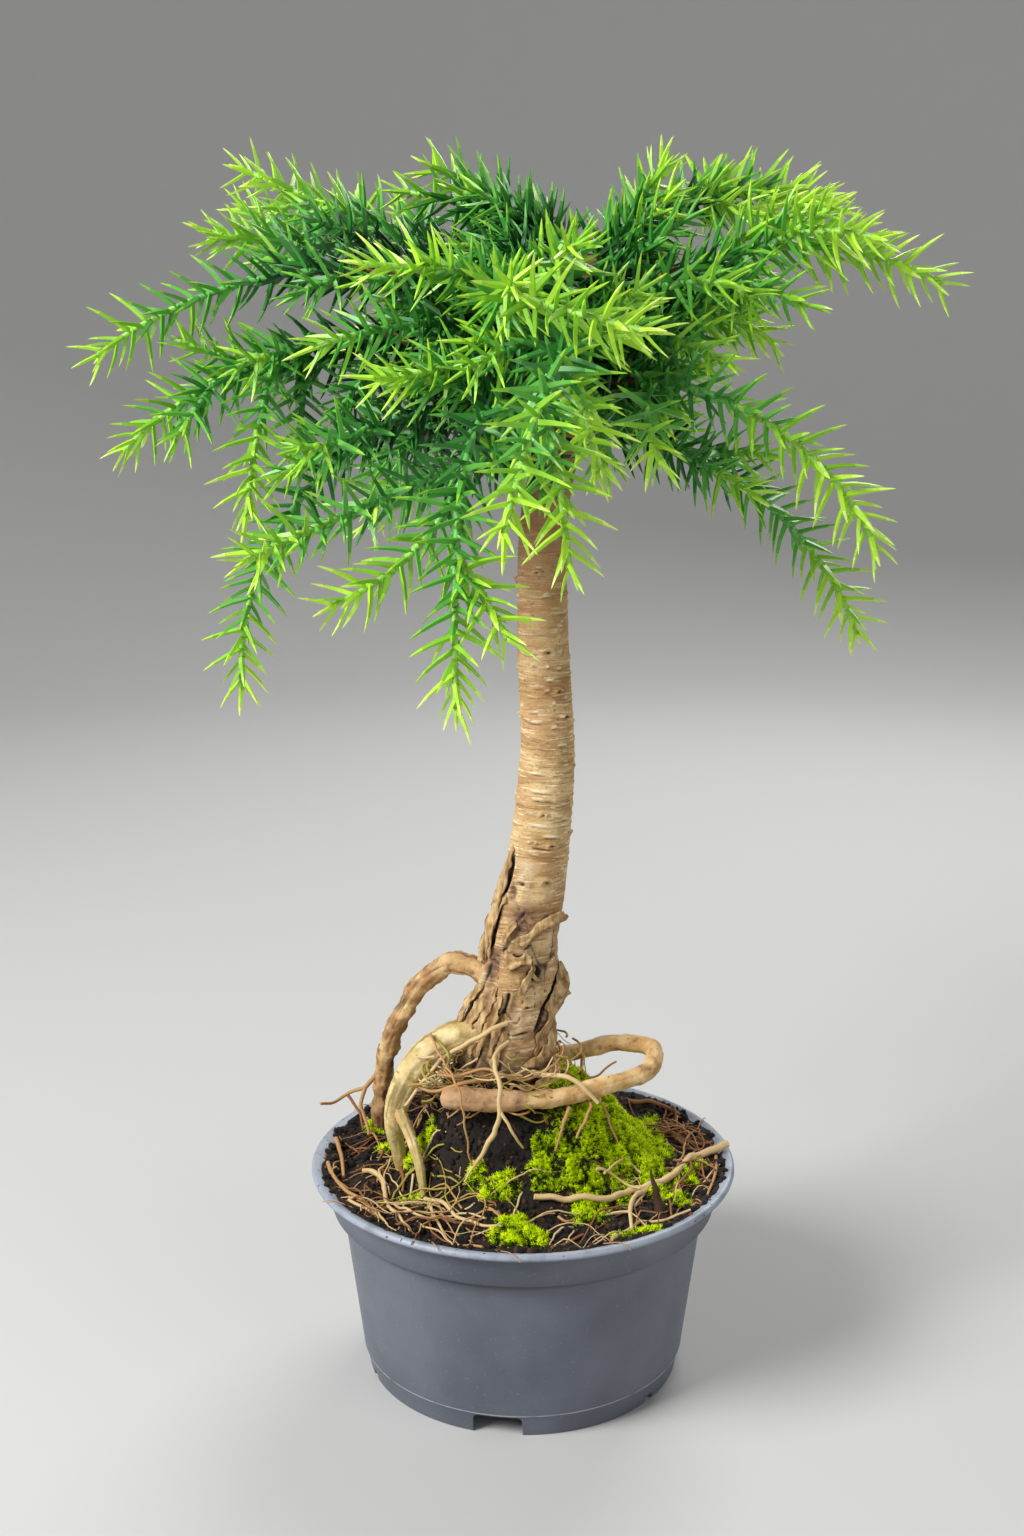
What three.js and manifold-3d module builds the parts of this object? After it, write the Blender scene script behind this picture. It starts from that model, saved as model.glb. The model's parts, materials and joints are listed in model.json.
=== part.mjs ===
// A hoop pine bonsai in a grey plastic nursery pot.
// Millimetres, +Z up, front toward -Y. The origin is the middle of the pot's flat underside.
import * as THREE from "three";
import { mergeVertices } from "three/addons/utils/BufferGeometryUtils.js";
import Module from "manifold-3d";

const wasm = await Module();
wasm.setup();

// Clearances
const GAP = 0.3; // between neighbouring pieces
const LEAF_GAP = 0.6; // between a twig or needle and anything outside its own mass

// Pot: a turned shell with a rolled lip, a collar, and a seam above a foot ring with wide and narrow notches
const POT = {
  height: 86,
  rimRadius: 85,
  lip: 3,
  lipRound: 1,
  lipWidth: 2.6,
  collarTop: 78.4,
  collarFoot: 76.8,
  collarHeight: 13.8,
  collarStep: 1.2,
  bodyTop: 72.6,
  seamRadius: 65,
  seamHeight: 9.2,
  seamStep: 0.7,
  footRadius: 62.8,
  wall: 1.8,
  channelHeight: 8.4, // underside of the raised ring between the foot and the flat middle
  plateauRadius: 46, // flat middle of the underside
  sides: 28,
};
const COLLAR_BOTTOM = POT.height - POT.lip - POT.collarHeight;
const NOTCH_REACH = 12; // from front to back of the block that cuts a notch
const NOTCHES = [
  { count: 3, first: 261, width: 19, height: 8.2, round: 2 },
  { count: 3, first: 321, width: 5.2, height: 3, round: 1 },
];

// Soil: level near the rim, with a mound under the trunk
const SOIL = {
  level: 82, rimInset: 2.3, rimDip: 1, moundHeight: 116, moundTop: 22, moundFoot: 58, moundRows: 4,
};

// Moss mats that follow the soil: middle, half widths and thickness
const MOSS = [
  { name: "moss_mat", x: 37, y: 0, halfX: 28, halfY: 48, thickness: 6 },
  { name: "moss_front", x: -4, y: -58, halfX: 12, halfY: 13, thickness: 5 },
];
const MOSS_DOME = 44; // half height of the ellipsoids that round the mats' edges

// Trunk stations from the flat cut on the mound up to the sawn top: lean in X, height, radius
const TRUNK = [
  { x: -7, z: SOIL.moundHeight + GAP, radius: 17.5 },
  { x: -5, z: 140, radius: 15.4 },
  { x: -1, z: 172, radius: 14 },
  { x: 5, z: 205, radius: 12.3 },
  { x: 9, z: 249, radius: 10.5 },
  { x: 7.3, z: 300, radius: 9.5 },
  { x: 8, z: 345, radius: 8.8 },
  { x: 15, z: 378, radius: 7.6 },
  { x: 24, z: 435, radius: 4.6 },
];
const TRUNK_ROWS = 22;
const TRUNK_SIDES = 11;

// Exposed roots: hand-placed bends, with the radius at the first and last of them
const ROOT_SIDES = 6;
const ROOT_ROWS = 8;
const LEFT_ARCH = {
  points: [[-8, -2, 160], [-27, 4, 166], [-40, 10, 156], [-52, 17, 134], [-57, 24, 113], [-60, 32, 77]],
  radii: [4.4, 3.8],
  split: 0.42,
};
const RIGHT_LOOP = {
  points: [
    [-4, 3, 124], [19, 9, 126], [39, 10, 130], [52, 3, 130], [49, -10, 126], [34, -18, 124], [8, -26, 121],
    [-32, -30, 123],
  ],
  radii: [3.6, 4.2],
  split: 0.47,
};
const LEFT_THICK = {
  points: [
    [-10, -5, 140], [-23, -8, 141], [-38, -10, 133], [-48, -12, 120], [-53, -12, 106], [-50, -11, 90],
    [-48, -10, 77],
  ],
  radii: [6.6, 2.4],
};
const LEFT_TOE = { points: [[-50, -13, 114], [-43, -22, 101], [-40, -28, 93], [-38, -35, 77]], radii: [2.6, 1.8] };

// Crown: each limb leaves the trunk at a height, heads for an azimuth (0 right, 90 back, 180 left, 270 front)
// that swings as it goes, and its slope bends evenly from rise to fall. The first share of it is a bare bough
// and the rest is the stem of a mass of foliage. Limbs with no bough spring from the trunk as foliage.
// A fork leaves the stem at a share of the limb's length and turns aside from it.
const LIMBS = [
  {
    name: "right_long", height: 405, azimuth: -6, swing: -2, rise: 46, fall: -28, length: 140, bough: 0.36,
    forks: [{ at: 0.5, turn: -34, rise: 22, fall: -18, length: 52 }],
  },
  { name: "right_upper", height: 416, azimuth: 52, swing: -32, rise: 56, fall: -20, length: 143, bough: 0 },
  { name: "right_middle", height: 396, azimuth: 24, swing: -24, rise: 52, fall: -38, length: 86, bough: 0 },
  { name: "right_droop", height: 383, azimuth: 304, swing: 50, rise: 24, fall: -64, length: 148, bough: 0.3 },
  { name: "right_back_droop", height: 374, azimuth: 12, swing: -18, rise: 0, fall: -68, length: 146, bough: 0.3 },
  { name: "left_upper", height: 421, azimuth: 132, swing: 30, rise: 14, fall: 22, length: 172, bough: 0.4 },
  { name: "left_middle", height: 413, azimuth: 150, swing: 26, rise: 24, fall: 0, length: 150, bough: 0 },
  { name: "left_long", height: 405, azimuth: 176, swing: 12, rise: 34, fall: -37, length: 186, bough: 0.5 },
  {
    name: "left_lower", height: 391, azimuth: 184, swing: 0, rise: 27, fall: -44, length: 176, bough: 0.42,
    forks: [{ at: 0.62, turn: 70, rise: -50, fall: -72, length: 62 }],
  },
  { name: "left_droop", height: 383, azimuth: 178, swing: 26, rise: 12, fall: -92, length: 184, bough: 0.42 },
  { name: "left_front", height: 377, azimuth: 226, swing: 6, rise: -14, fall: -14, length: 160, bough: 0.3 },
  { name: "left_front_middle", height: 388, azimuth: 212, swing: 0, rise: 0, fall: -26, length: 122, bough: 0 },
  { name: "left_front_upper", height: 399, azimuth: 228, swing: -20, rise: 22, fall: -18, length: 114, bough: 0 },
  {
    name: "front_main", height: 393, azimuth: 272, swing: -22, rise: 26, fall: -54, length: 188, bough: 0.25,
    forks: [
      { at: 0.5, turn: 31, rise: -40, fall: -68, length: 46 },
      { at: 0.72, turn: 40, rise: -60, fall: -80, length: 52 },
    ],
  },
  {
    name: "front_droop", height: 380, azimuth: 240, swing: 36, rise: 24, fall: -88, length: 190, bough: 0.25,
    forks: [
      { at: 0.6, turn: -66, rise: -64, fall: -20, length: 58 },
      { at: 0.74, turn: 55, rise: -46, fall: -56, length: 32 },
    ],
  },
  {
    name: "front_high", height: 412, azimuth: 215, swing: 125, rise: 12, fall: -16, length: 152, bough: 0.25,
    forks: [{ at: 0.46, turn: 4, rise: 8, fall: 0, length: 40 }],
  },
  { name: "front_left_high", height: 417, azimuth: 250, swing: -60, rise: 12, fall: 2, length: 102, bough: 0 },
  { name: "front_left_middle", height: 404, azimuth: 252, swing: -44, rise: -1, fall: -12, length: 94, bough: 0 },
  { name: "front_right", height: 396, azimuth: 318, swing: 14, rise: 34, fall: -30, length: 66, bough: 0 },
  { name: "top_left", height: 427, azimuth: 155, swing: -6, rise: 48, fall: 18, length: 78, bough: 0 },
  { name: "top_right", height: 427, azimuth: 44, swing: 0, rise: 30, fall: 62, length: 60, bough: 0 },
  { name: "back_right", height: 402, azimuth: 62, swing: -12, rise: 40, fall: -36, length: 158, bough: 0.35 },
  { name: "back_long", height: 392, azimuth: 86, swing: 8, rise: 34, fall: -46, length: 170, bough: 0.35 },
  { name: "back_left", height: 400, azimuth: 114, swing: 22, rise: 34, fall: -36, length: 164, bough: 0.35 },
  { name: "back_right_droop", height: 378, azimuth: 64, swing: 10, rise: 28, fall: -36, length: 138, bough: 0 },
  { name: "back_left_droop", height: 380, azimuth: 130, swing: 0, rise: 18, fall: -62, length: 146, bough: 0 },
];
const LIMB_ROW = 8; // step of a limb's middle line
const BOUGH = { rootRadius: 3.4, tipRadius: 2.2, sides: 5, rowLength: 15 };
const STEM = { rootRadius: 2.2, forkRadius: 1.8, tipRadius: 1.4, sides: 3, rowLength: 22 };

// Seeded side twigs along the inner share of each stem, and the needles on stems and twigs
const SEED = 41;
const TWIG = {
  spacing: 26, innerShare: 0.6, length: 34, spread: 0.35,
  angle: 50, curl: 0.5, slopeShare: 0.6, tilt: 18, droop: 22,
};
const NEEDLE = {
  length: 16, width: 3.2, thickness: 1.8, belly: 0.22,
  spacing: 7.5, sunk: 2.5, lean: 58, tipLean: 30, tipShare: 0.72,
};
// Turns of a twig's three faces, which the needles leave, and how far a needle strays from their middles
const FACE = { first: 30, step: 120, stray: 26 };

// Materials
const material = (color, roughness) => new THREE.MeshStandardMaterial({ color, roughness, metalness: 0 });
const PLASTIC = material(0x7d8694, 0.45);
const EARTH = material(0x2a1d15, 0.95);
const MOSS_GREEN = material(0x6f9f1c, 0.9);
const BARK = material(0xb08f62, 0.85);
const ROOT_BARK = material(0xbf9f68, 0.75);
const BOUGH_BARK = material(0x7a6238, 0.8);
const NEEDLE_GREEN = material(0x45962b, 0.5);

const group = new THREE.Group();

function addNode(name, manifold, look) {
  const { vertProperties, triVerts } = manifold.getMesh();
  const geometry = new THREE.BufferGeometry();
  geometry.setAttribute("position", new THREE.BufferAttribute(vertProperties, 3));
  geometry.setIndex(new THREE.BufferAttribute(triVerts, 1));
  geometry.computeVertexNormals();
  const mesh = new THREE.Mesh(geometry, look);
  mesh.name = name;
  group.add(mesh);
}

// A closed three.js geometry as a solid for joining and cutting
function solid(geometry) {
  geometry.deleteAttribute("normal");
  geometry.deleteAttribute("uv");
  const welded = mergeVertices(geometry, 1e-4);
  const corners = welded.index.array;
  const kept = [];
  for (let i = 0; i < corners.length; i += 3) {
    const [a, b, c] = corners.slice(i, i + 3);
    if (a !== b && b !== c && c !== a) kept.push(a, b, c);
  }
  const vertProperties = new Float32Array(welded.attributes.position.array);
  return new wasm.Manifold(new wasm.Mesh({ numProp: 3, vertProperties, triVerts: new Uint32Array(kept) }));
}

// Joins solids in pairs, so that no step joins one large piece to one small one
function fuse(solids) {
  let pieces = solids;
  while (pieces.length > 1) {
    const joined = [];
    for (let i = 0; i < pieces.length; i += 2) {
      joined.push(i + 1 < pieces.length ? pieces[i].add(pieces[i + 1]) : pieces[i]);
    }
    pieces = joined;
  }
  return pieces[0];
}

// A profile of [radius, height] points, from the axis round to the axis, turned about Z
function turned(profile, sides) {
  const points = profile.map(([radius, height]) => new THREE.Vector2(radius, height));
  return solid(new THREE.LatheGeometry(points, sides).rotateX(Math.PI / 2));
}

// A round limb of changing radius: a closed cylinder bent along a path
function limb(path, radiusAt, sides) {
  const rows = path.length - 1;
  const geometry = new THREE.CylinderGeometry(1, 1, 1, sides, rows);
  const frames = framesAlong(path);
  const position = geometry.attributes.position;
  const vertex = new THREE.Vector3();
  for (let i = 0; i < position.count; i++) {
    vertex.fromBufferAttribute(position, i);
    const row = Math.round((vertex.y + 0.5) * rows);
    const { point, normal, binormal } = frames[row];
    const radius = radiusAt(row / rows);
    const place = point.clone();
    place.addScaledVector(normal, vertex.x * radius).addScaledVector(binormal, vertex.z * radius);
    position.setXYZ(i, place.x, place.y, place.z);
  }
  return solid(geometry);
}

// At each point of a path: its direction, and two sideways directions that turn as little as they can
function framesAlong(path) {
  const frames = [];
  let normal = null;
  path.forEach((point, i) => {
    const before = path[Math.max(i - 1, 0)];
    const after = path[Math.min(i + 1, path.length - 1)];
    const tangent = after.clone().sub(before).normalize();
    const reference = normal ?? new THREE.Vector3(0.31, 0.95, 0.05);
    normal = reference.clone().addScaledVector(tangent, -reference.dot(tangent)).normalize();
    frames.push({ point, tangent, normal, binormal: normal.clone().cross(tangent) });
  });
  return frames;
}

const between = THREE.MathUtils.lerp;
const radians = THREE.MathUtils.degToRad;
const degrees = THREE.MathUtils.radToDeg;
const taper = (first, last) => (share) => between(first, last, share);

// A direction from its azimuth and its slope, both in degrees
function heading(azimuth, slope) {
  const flat = Math.cos(radians(slope));
  return new THREE.Vector3(
    flat * Math.cos(radians(azimuth)), flat * Math.sin(radians(azimuth)), Math.sin(radians(slope)),
  );
}

// The growth rule: a path whose azimuth swings and whose slope bends evenly along its length
function grow(start, shoot, rowLength) {
  const rows = Math.max(3, Math.round(shoot.length / rowLength));
  const path = [start.clone()];
  for (let i = 0; i < rows; i++) {
    const share = (i + 0.5) / rows;
    const step = heading(shoot.azimuth + shoot.swing * share, between(shoot.rise, shoot.fall, share));
    path.push(path[i].clone().addScaledVector(step, shoot.length / rows));
  }
  return path;
}

// A path as a curve of straight pieces, measured along its length
function polyline(path) {
  const curve = new THREE.CurvePath();
  for (let i = 1; i < path.length; i++) curve.add(new THREE.LineCurve3(path[i - 1], path[i]));
  return curve;
}

// The stretch of a path between two shares of its length, in even steps
function stretch(path, from, to, rowLength) {
  const curve = polyline(path);
  const rows = Math.max(3, Math.round(((to - from) * curve.getLength()) / rowLength));
  return Array.from({ length: rows + 1 }, (_, i) => curve.getPoint(between(from, to, i / rows)));
}

// Repeatable random numbers from 0 to 1
function seeded(seed) {
  let state = seed;
  return () => {
    state = (state + 0x6d2b79f5) | 0;
    let mixed = Math.imul(state ^ (state >>> 15), 1 | state);
    mixed = (mixed + Math.imul(mixed ^ (mixed >>> 7), 61 | mixed)) ^ mixed;
    return ((mixed ^ (mixed >>> 14)) >>> 0) / 4294967296;
  };
}

// Pot
function potProfile() {
  const { height, rimRadius, lip, wall } = POT;
  return [
    [0, 0],
    [POT.plateauRadius, 0],
    [POT.plateauRadius + wall, POT.channelHeight],
    [POT.footRadius - wall, POT.channelHeight],
    [POT.footRadius - wall, 0],
    [POT.footRadius, 0],
    [POT.seamRadius - POT.seamStep, POT.seamHeight - POT.seamStep],
    [POT.seamRadius, POT.seamHeight],
    [POT.bodyTop, COLLAR_BOTTOM - POT.collarStep],
    [POT.collarFoot, COLLAR_BOTTOM],
    [POT.collarTop, height - lip],
    [rimRadius - POT.lipRound, height - lip],
    [rimRadius, height - lip / 2],
    [rimRadius - POT.lipRound, height],
    [rimRadius - POT.lipWidth, height],
    [POT.collarTop - wall, height - lip],
    [POT.collarFoot - wall, COLLAR_BOTTOM + wall],
    [POT.bodyTop - wall, COLLAR_BOTTOM - POT.collarStep + wall],
    [POT.seamRadius - wall, POT.channelHeight + wall],
    [POT.plateauRadius, POT.channelHeight + wall],
    [POT.plateauRadius - wall, wall],
    [0, wall],
  ];
}

// A block with rounded upper corners that cuts one notch through the foot ring
function notch({ width, height, round }, azimuth) {
  const half = width / 2;
  const opening = new THREE.Shape();
  opening.moveTo(-half, -round);
  opening.lineTo(half, -round);
  opening.lineTo(half, height - round);
  opening.quadraticCurveTo(half, height, half - round, height);
  opening.lineTo(round - half, height);
  opening.quadraticCurveTo(-half, height, -half, height - round);
  const block = new THREE.ExtrudeGeometry(opening, { depth: NOTCH_REACH, bevelEnabled: false, curveSegments: 3 });
  block.rotateX(Math.PI / 2).translate(0, NOTCH_REACH / 2 - POT.footRadius, 0).rotateZ(radians(azimuth + 90));
  return solid(block);
}

let pot = turned(potProfile(), POT.sides);
for (const kind of NOTCHES) {
  for (let i = 0; i < kind.count; i++) pot = pot.subtract(notch(kind, kind.first + (i * 360) / kind.count));
}
addNode("pot", pot, PLASTIC);

// Soil: follows the inside of the pot, GAP clear of it, under a surface that can be lifted
function soilProfile(lift) {
  const clear = POT.wall + GAP;
  const floor = POT.channelHeight + clear;
  const profile = [
    [0, clear],
    [POT.plateauRadius - clear, clear],
    [POT.plateauRadius - GAP, floor],
    [POT.seamRadius - clear, floor],
    [POT.bodyTop - clear, COLLAR_BOTTOM - POT.collarStep + clear],
    [POT.collarFoot - clear, COLLAR_BOTTOM + clear],
    [POT.collarTop - clear - SOIL.rimInset, SOIL.level - SOIL.rimDip + lift],
  ];
  for (let i = 0; i <= SOIL.moundRows; i++) {
    const share = i / SOIL.moundRows;
    const height = between(SOIL.level, SOIL.moundHeight, THREE.MathUtils.smoothstep(share, 0, 1));
    profile.push([between(SOIL.moundFoot, SOIL.moundTop, share), height + lift]);
  }
  profile.push([0, SOIL.moundHeight + lift]);
  return profile;
}

addNode("soil", turned(soilProfile(0), POT.sides), EARTH);
const ground = turned(soilProfile(GAP), POT.sides);

// Moss mats lie on the soil
for (const mat of MOSS) {
  const outline = new THREE.SphereGeometry(1, 16, 8).scale(mat.halfX, mat.halfY, MOSS_DOME);
  const lifted = turned(soilProfile(mat.thickness), POT.sides);
  const mossSolid = solid(outline.translate(mat.x, mat.y, SOIL.level)).intersect(lifted).subtract(ground);
  addNode(mat.name, mossSolid, MOSS_GREEN);
}

// Trunk
const trunkCurve = new THREE.CatmullRomCurve3(TRUNK.map(({ x, z }) => new THREE.Vector3(x, 0, z)));

function trunkRadius(share) {
  const place = share * (TRUNK.length - 1);
  const below = Math.min(Math.floor(place), TRUNK.length - 2);
  return between(TRUNK[below].radius, TRUNK[below + 1].radius, place - below);
}

function trunkSolid(extra) {
  return limb(trunkCurve.getPoints(TRUNK_ROWS), (share) => trunkRadius(share) + extra, TRUNK_SIDES);
}

// The middle of the trunk at a height
function trunkAt(height) {
  const halvings = 24;
  let low = 0;
  let high = 1;
  for (let i = 0; i < halvings; i++) {
    const middle = (low + high) / 2;
    if (trunkCurve.getPoint(middle).z < height) low = middle;
    else high = middle;
  }
  return trunkCurve.getPoint(low);
}

// The end rows of the bent cylinder are square to the path, so the foot is levelled by the ground
addNode("trunk", trunkSolid(0).subtract(ground), BARK);
const trunkClear = trunkSolid(GAP);

// Roots: a bent limb through hand-placed points, clear of the trunk and cut where it enters the soil
function rootSolid({ points, radii }, from, to, extra = 0) {
  const curve = new THREE.CatmullRomCurve3(points.map((point) => new THREE.Vector3(...point)));
  const path = [];
  for (let i = 0; i <= ROOT_ROWS; i++) path.push(curve.getPointAt(between(from, to, i / ROOT_ROWS)));
  const radiusAt = (share) => between(...radii, between(from, to, share)) + extra;
  return limb(path, radiusAt, ROOT_SIDES).subtract(trunkClear).subtract(ground);
}

function addSplitRoot(name, root, innerName, outerName) {
  const curve = new THREE.CatmullRomCurve3(root.points.map((point) => new THREE.Vector3(...point)));
  const gapShare = GAP / curve.getLength();
  const innerClear = rootSolid(root, 0, root.split, GAP);
  addNode(`${name}_${innerName}`, rootSolid(root, 0, root.split), ROOT_BARK);
  addNode(`${name}_${outerName}`, rootSolid(root, root.split + gapShare, 1).subtract(innerClear), ROOT_BARK);
}

addSplitRoot("root_left_arch", LEFT_ARCH, "upper", "lower");
addSplitRoot("root_right_loop", RIGHT_LOOP, "back", "front");
addNode("root_left_thick", rootSolid(LEFT_THICK, 0, 1), ROOT_BARK);
addNode("root_left_toe", rootSolid(LEFT_TOE, 0, 1).subtract(rootSolid(LEFT_THICK, 0, 1, GAP)), ROOT_BARK);

// Space already taken, as straight pieces with a radius, and the mass and twig that each belongs to
const taken = [];

function claim(path, radius, owner = {}) {
  for (let i = 1; i < path.length; i++) {
    taken.push({ line: new THREE.Line3(path[i - 1], path[i]), radius, ...owner });
  }
}

function isFree(path, radius, isOwn) {
  for (let i = 1; i < path.length; i++) {
    const line = new THREE.Line3(path[i - 1], path[i]);
    for (const other of taken) {
      if (isOwn(other)) continue;
      const apart = other.radius + radius + LEAF_GAP;
      if (other.line.distanceSqToLine3(line) < apart * apart) return false;
    }
  }
  return true;
}

claim(trunkCurve.getPoints(TRUNK_ROWS), TRUNK.at(-2).radius);

// Boughs, and the stem and forks of each mass
const masses = LIMBS.map((shoot) => {
  const path = grow(trunkAt(shoot.height), shoot, LIMB_ROW);
  const mass = { name: `foliage_${shoot.name}`, carrier: trunkClear, twigs: [] };
  if (shoot.bough > 0) {
    const boughPath = stretch(path, 0, shoot.bough, BOUGH.rowLength);
    const bough = limb(boughPath, taper(BOUGH.rootRadius, BOUGH.tipRadius), BOUGH.sides);
    addNode(`bough_${shoot.name}`, bough.subtract(trunkClear), BOUGH_BARK);
    claim(boughPath, BOUGH.rootRadius);
    mass.carrier = limb(boughPath, taper(BOUGH.rootRadius + GAP, BOUGH.tipRadius + GAP), BOUGH.sides);
  }
  const stemStart = shoot.bough > 0 ? shoot.bough + GAP / shoot.length : 0;
  mass.stem = stretch(path, stemStart, 1, STEM.rowLength);
  mass.twigs.push({ path: mass.stem, radii: [STEM.rootRadius, STEM.tipRadius] });
  for (const fork of shoot.forks ?? []) {
    const along = shoot.azimuth + shoot.swing * fork.at;
    const start = polyline(mass.stem).getPoint((fork.at - stemStart) / (1 - stemStart));
    const forkPath = grow(start, { ...fork, azimuth: along + fork.turn, swing: 0 }, STEM.rowLength);
    mass.twigs.push({ path: forkPath, radii: [STEM.forkRadius, STEM.tipRadius] });
  }
  for (const twig of mass.twigs) claim(twig.path, twig.radii[0], { mass, twig });
  return mass;
});

// Side twigs by the seeded rule, alternately left and right of the stem
const random = seeded(SEED);
for (const mass of masses) {
  const frames = framesAlong(mass.stem);
  const curve = polyline(mass.stem);
  const length = curve.getLength();
  let side = random() < 0.5 ? -1 : 1;
  for (let reach = TWIG.spacing; reach < length * TWIG.innerShare; reach += TWIG.spacing) {
    const share = reach / length;
    const { tangent } = frames[Math.round(share * (frames.length - 1))];
    const azimuth = degrees(Math.atan2(tangent.y, tangent.x)) + side * TWIG.angle;
    const rise = degrees(Math.asin(tangent.z)) * TWIG.slopeShare + between(-TWIG.tilt, TWIG.tilt, random());
    const size = TWIG.length * between(1 - TWIG.spread, 1 + TWIG.spread, random());
    const swing = -side * TWIG.angle * TWIG.curl;
    const shoot = { azimuth, swing, rise, fall: rise - TWIG.droop, length: size };
    const path = grow(curve.getPoint(share), shoot, STEM.rowLength);
    const twig = { path, radii: [STEM.tipRadius, STEM.tipRadius] };
    side = -side;
    if (!isFree(twig.path, STEM.tipRadius, (other) => other.mass === mass)) continue;
    mass.twigs.push(twig);
    claim(twig.path, STEM.tipRadius, { mass, twig });
  }
}

// A flat three-sided needle, widest at its belly, with its pointed root on the twig's middle line
function needle(root, tip, side) {
  const along = tip.clone().sub(root);
  const wide = side.clone().multiplyScalar(NEEDLE.width / 2);
  const thick = side.clone().cross(along).setLength(NEEDLE.thickness / 2);
  const placed = new THREE.Matrix4().makeBasis(wide, along, thick).setPosition(root);
  const outline = [[0, 0], [1, NEEDLE.belly], [0, 1]].map((point) => new THREE.Vector2(...point));
  return solid(new THREE.LatheGeometry(outline, 3).applyMatrix4(placed));
}

// Needles stand round the twig, lean further forward and grow shorter toward the tip, and one ends the twig
function needlesOn(twig) {
  const { path } = twig;
  const rooted = 1 - NEEDLE.sunk / polyline(path).getLength();
  const frames = framesAlong(stretch(path, 0, rooted, NEEDLE.spacing));
  const needles = [];
  frames.forEach(({ point, tangent, normal, binormal }, i) => {
    const share = i / (frames.length - 1);
    const turn = radians(FACE.first + i * FACE.step + between(-FACE.stray, FACE.stray, random()));
    const outward = normal.clone().multiplyScalar(Math.cos(turn)).addScaledVector(binormal, Math.sin(turn));
    const lean = share === 1 ? 0 : radians(between(NEEDLE.lean, NEEDLE.tipLean, share ** 3));
    const size = NEEDLE.length * between(1, NEEDLE.tipShare, share ** 3);
    const direction = tangent.clone().multiplyScalar(Math.cos(lean)).addScaledVector(outward, Math.sin(lean));
    const tip = point.clone().addScaledVector(direction, size);
    if (!isFree([point, tip], NEEDLE.width / 2, (other) => other.twig === twig)) return;
    needles.push(needle(point, tip, outward.clone().cross(tangent)));
    claim([point, tip], NEEDLE.width / 2);
  });
  return needles;
}

for (const mass of masses) {
  const pieces = [];
  for (const twig of mass.twigs) {
    pieces.push(limb(twig.path, taper(...twig.radii), STEM.sides));
    pieces.push(...needlesOn(twig));
  }
  addNode(mass.name, fuse(pieces).subtract(mass.carrier), NEEDLE_GREEN);
}

export default group;
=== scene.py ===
# %% [markdown]
# # Dressing a hoop pine bonsai
# The real thing is a young hoop pine grown as a bonsai. A bare, leaning trunk stands on exposed roots
# in a grey nursery pot, under a flat crown of shoots that are clad in needles.
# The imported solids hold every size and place. This lesson builds what the eye sees around them, in the
# same frame: moulded plastic, crumbly soil, moss, peeling bark, and a crown grown by the solids' own rule.

# %% Load the frame
import json
import math
import random

import bmesh
import bpy
import numpy as np
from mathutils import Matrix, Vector, noise

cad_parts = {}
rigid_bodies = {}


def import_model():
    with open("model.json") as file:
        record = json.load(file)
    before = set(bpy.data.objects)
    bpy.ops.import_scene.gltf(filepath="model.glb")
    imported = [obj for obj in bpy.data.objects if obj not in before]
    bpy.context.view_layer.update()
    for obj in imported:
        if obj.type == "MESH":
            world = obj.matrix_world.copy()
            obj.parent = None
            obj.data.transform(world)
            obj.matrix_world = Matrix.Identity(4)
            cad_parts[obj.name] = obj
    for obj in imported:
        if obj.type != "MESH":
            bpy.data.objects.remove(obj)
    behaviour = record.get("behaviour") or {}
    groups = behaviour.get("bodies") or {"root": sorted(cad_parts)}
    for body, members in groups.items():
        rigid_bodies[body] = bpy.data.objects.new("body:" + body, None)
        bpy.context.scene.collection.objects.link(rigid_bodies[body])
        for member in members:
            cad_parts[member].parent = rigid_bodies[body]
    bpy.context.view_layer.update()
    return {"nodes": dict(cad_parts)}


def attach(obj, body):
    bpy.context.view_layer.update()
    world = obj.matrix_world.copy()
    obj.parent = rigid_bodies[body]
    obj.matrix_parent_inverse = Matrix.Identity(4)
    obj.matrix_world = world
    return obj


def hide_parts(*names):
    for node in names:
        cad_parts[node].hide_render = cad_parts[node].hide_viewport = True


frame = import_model()
MM = 0.001  # sizes in this script are millimetres, and Blender's are metres

# %% [markdown]
# ## Camera
# The photograph was taken a little above the pot, looking slightly down. The camera's place was worked out
# from the pot's rim, whose ellipse gives the height and the tilt.

# %% Camera
PHOTO_WIDTH, PHOTO_HEIGHT = 1024, 1536  # pixels
FOCAL_LENGTH = 1800  # pixels
SENSOR = 36
CAMERA_PLACE = (-4.4, -674.4, 398.6)
CAMERA_TILT = 77.25  # degrees from looking straight down

camera = bpy.data.objects.new("camera", bpy.data.cameras.new("camera"))
camera.data.sensor_width = SENSOR
camera.data.lens = FOCAL_LENGTH / PHOTO_HEIGHT * SENSOR
camera.location = Vector(CAMERA_PLACE) * MM
camera.rotation_euler = (math.radians(CAMERA_TILT), 0, 0)
bpy.context.scene.collection.objects.link(camera)
bpy.context.scene.camera = camera
camera_turn = camera.rotation_euler.to_matrix()
print("lens", round(camera.data.lens, 1), "mm")

# %% [markdown]
# ## Colours and nodes
# Colours are written here as the hex values that a paint program shows. Shaders count in linear light, so
# one function turns them over. Another adds a node with its settings and links, so that a tree of nodes
# reads as a list. A third makes a plain finish, which is all that the smallest pieces need.

# %% Colours and nodes


def linear(hex_code):
    """An sRGB hex colour as the linear RGBA that shaders take."""
    channels = [int(hex_code[i : i + 2], 16) / 255 for i in (1, 3, 5)]
    return [*(c / 12.92 if c <= 0.04045 else ((c + 0.055) / 1.055) ** 2.4 for c in channels), 1.0]


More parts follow.
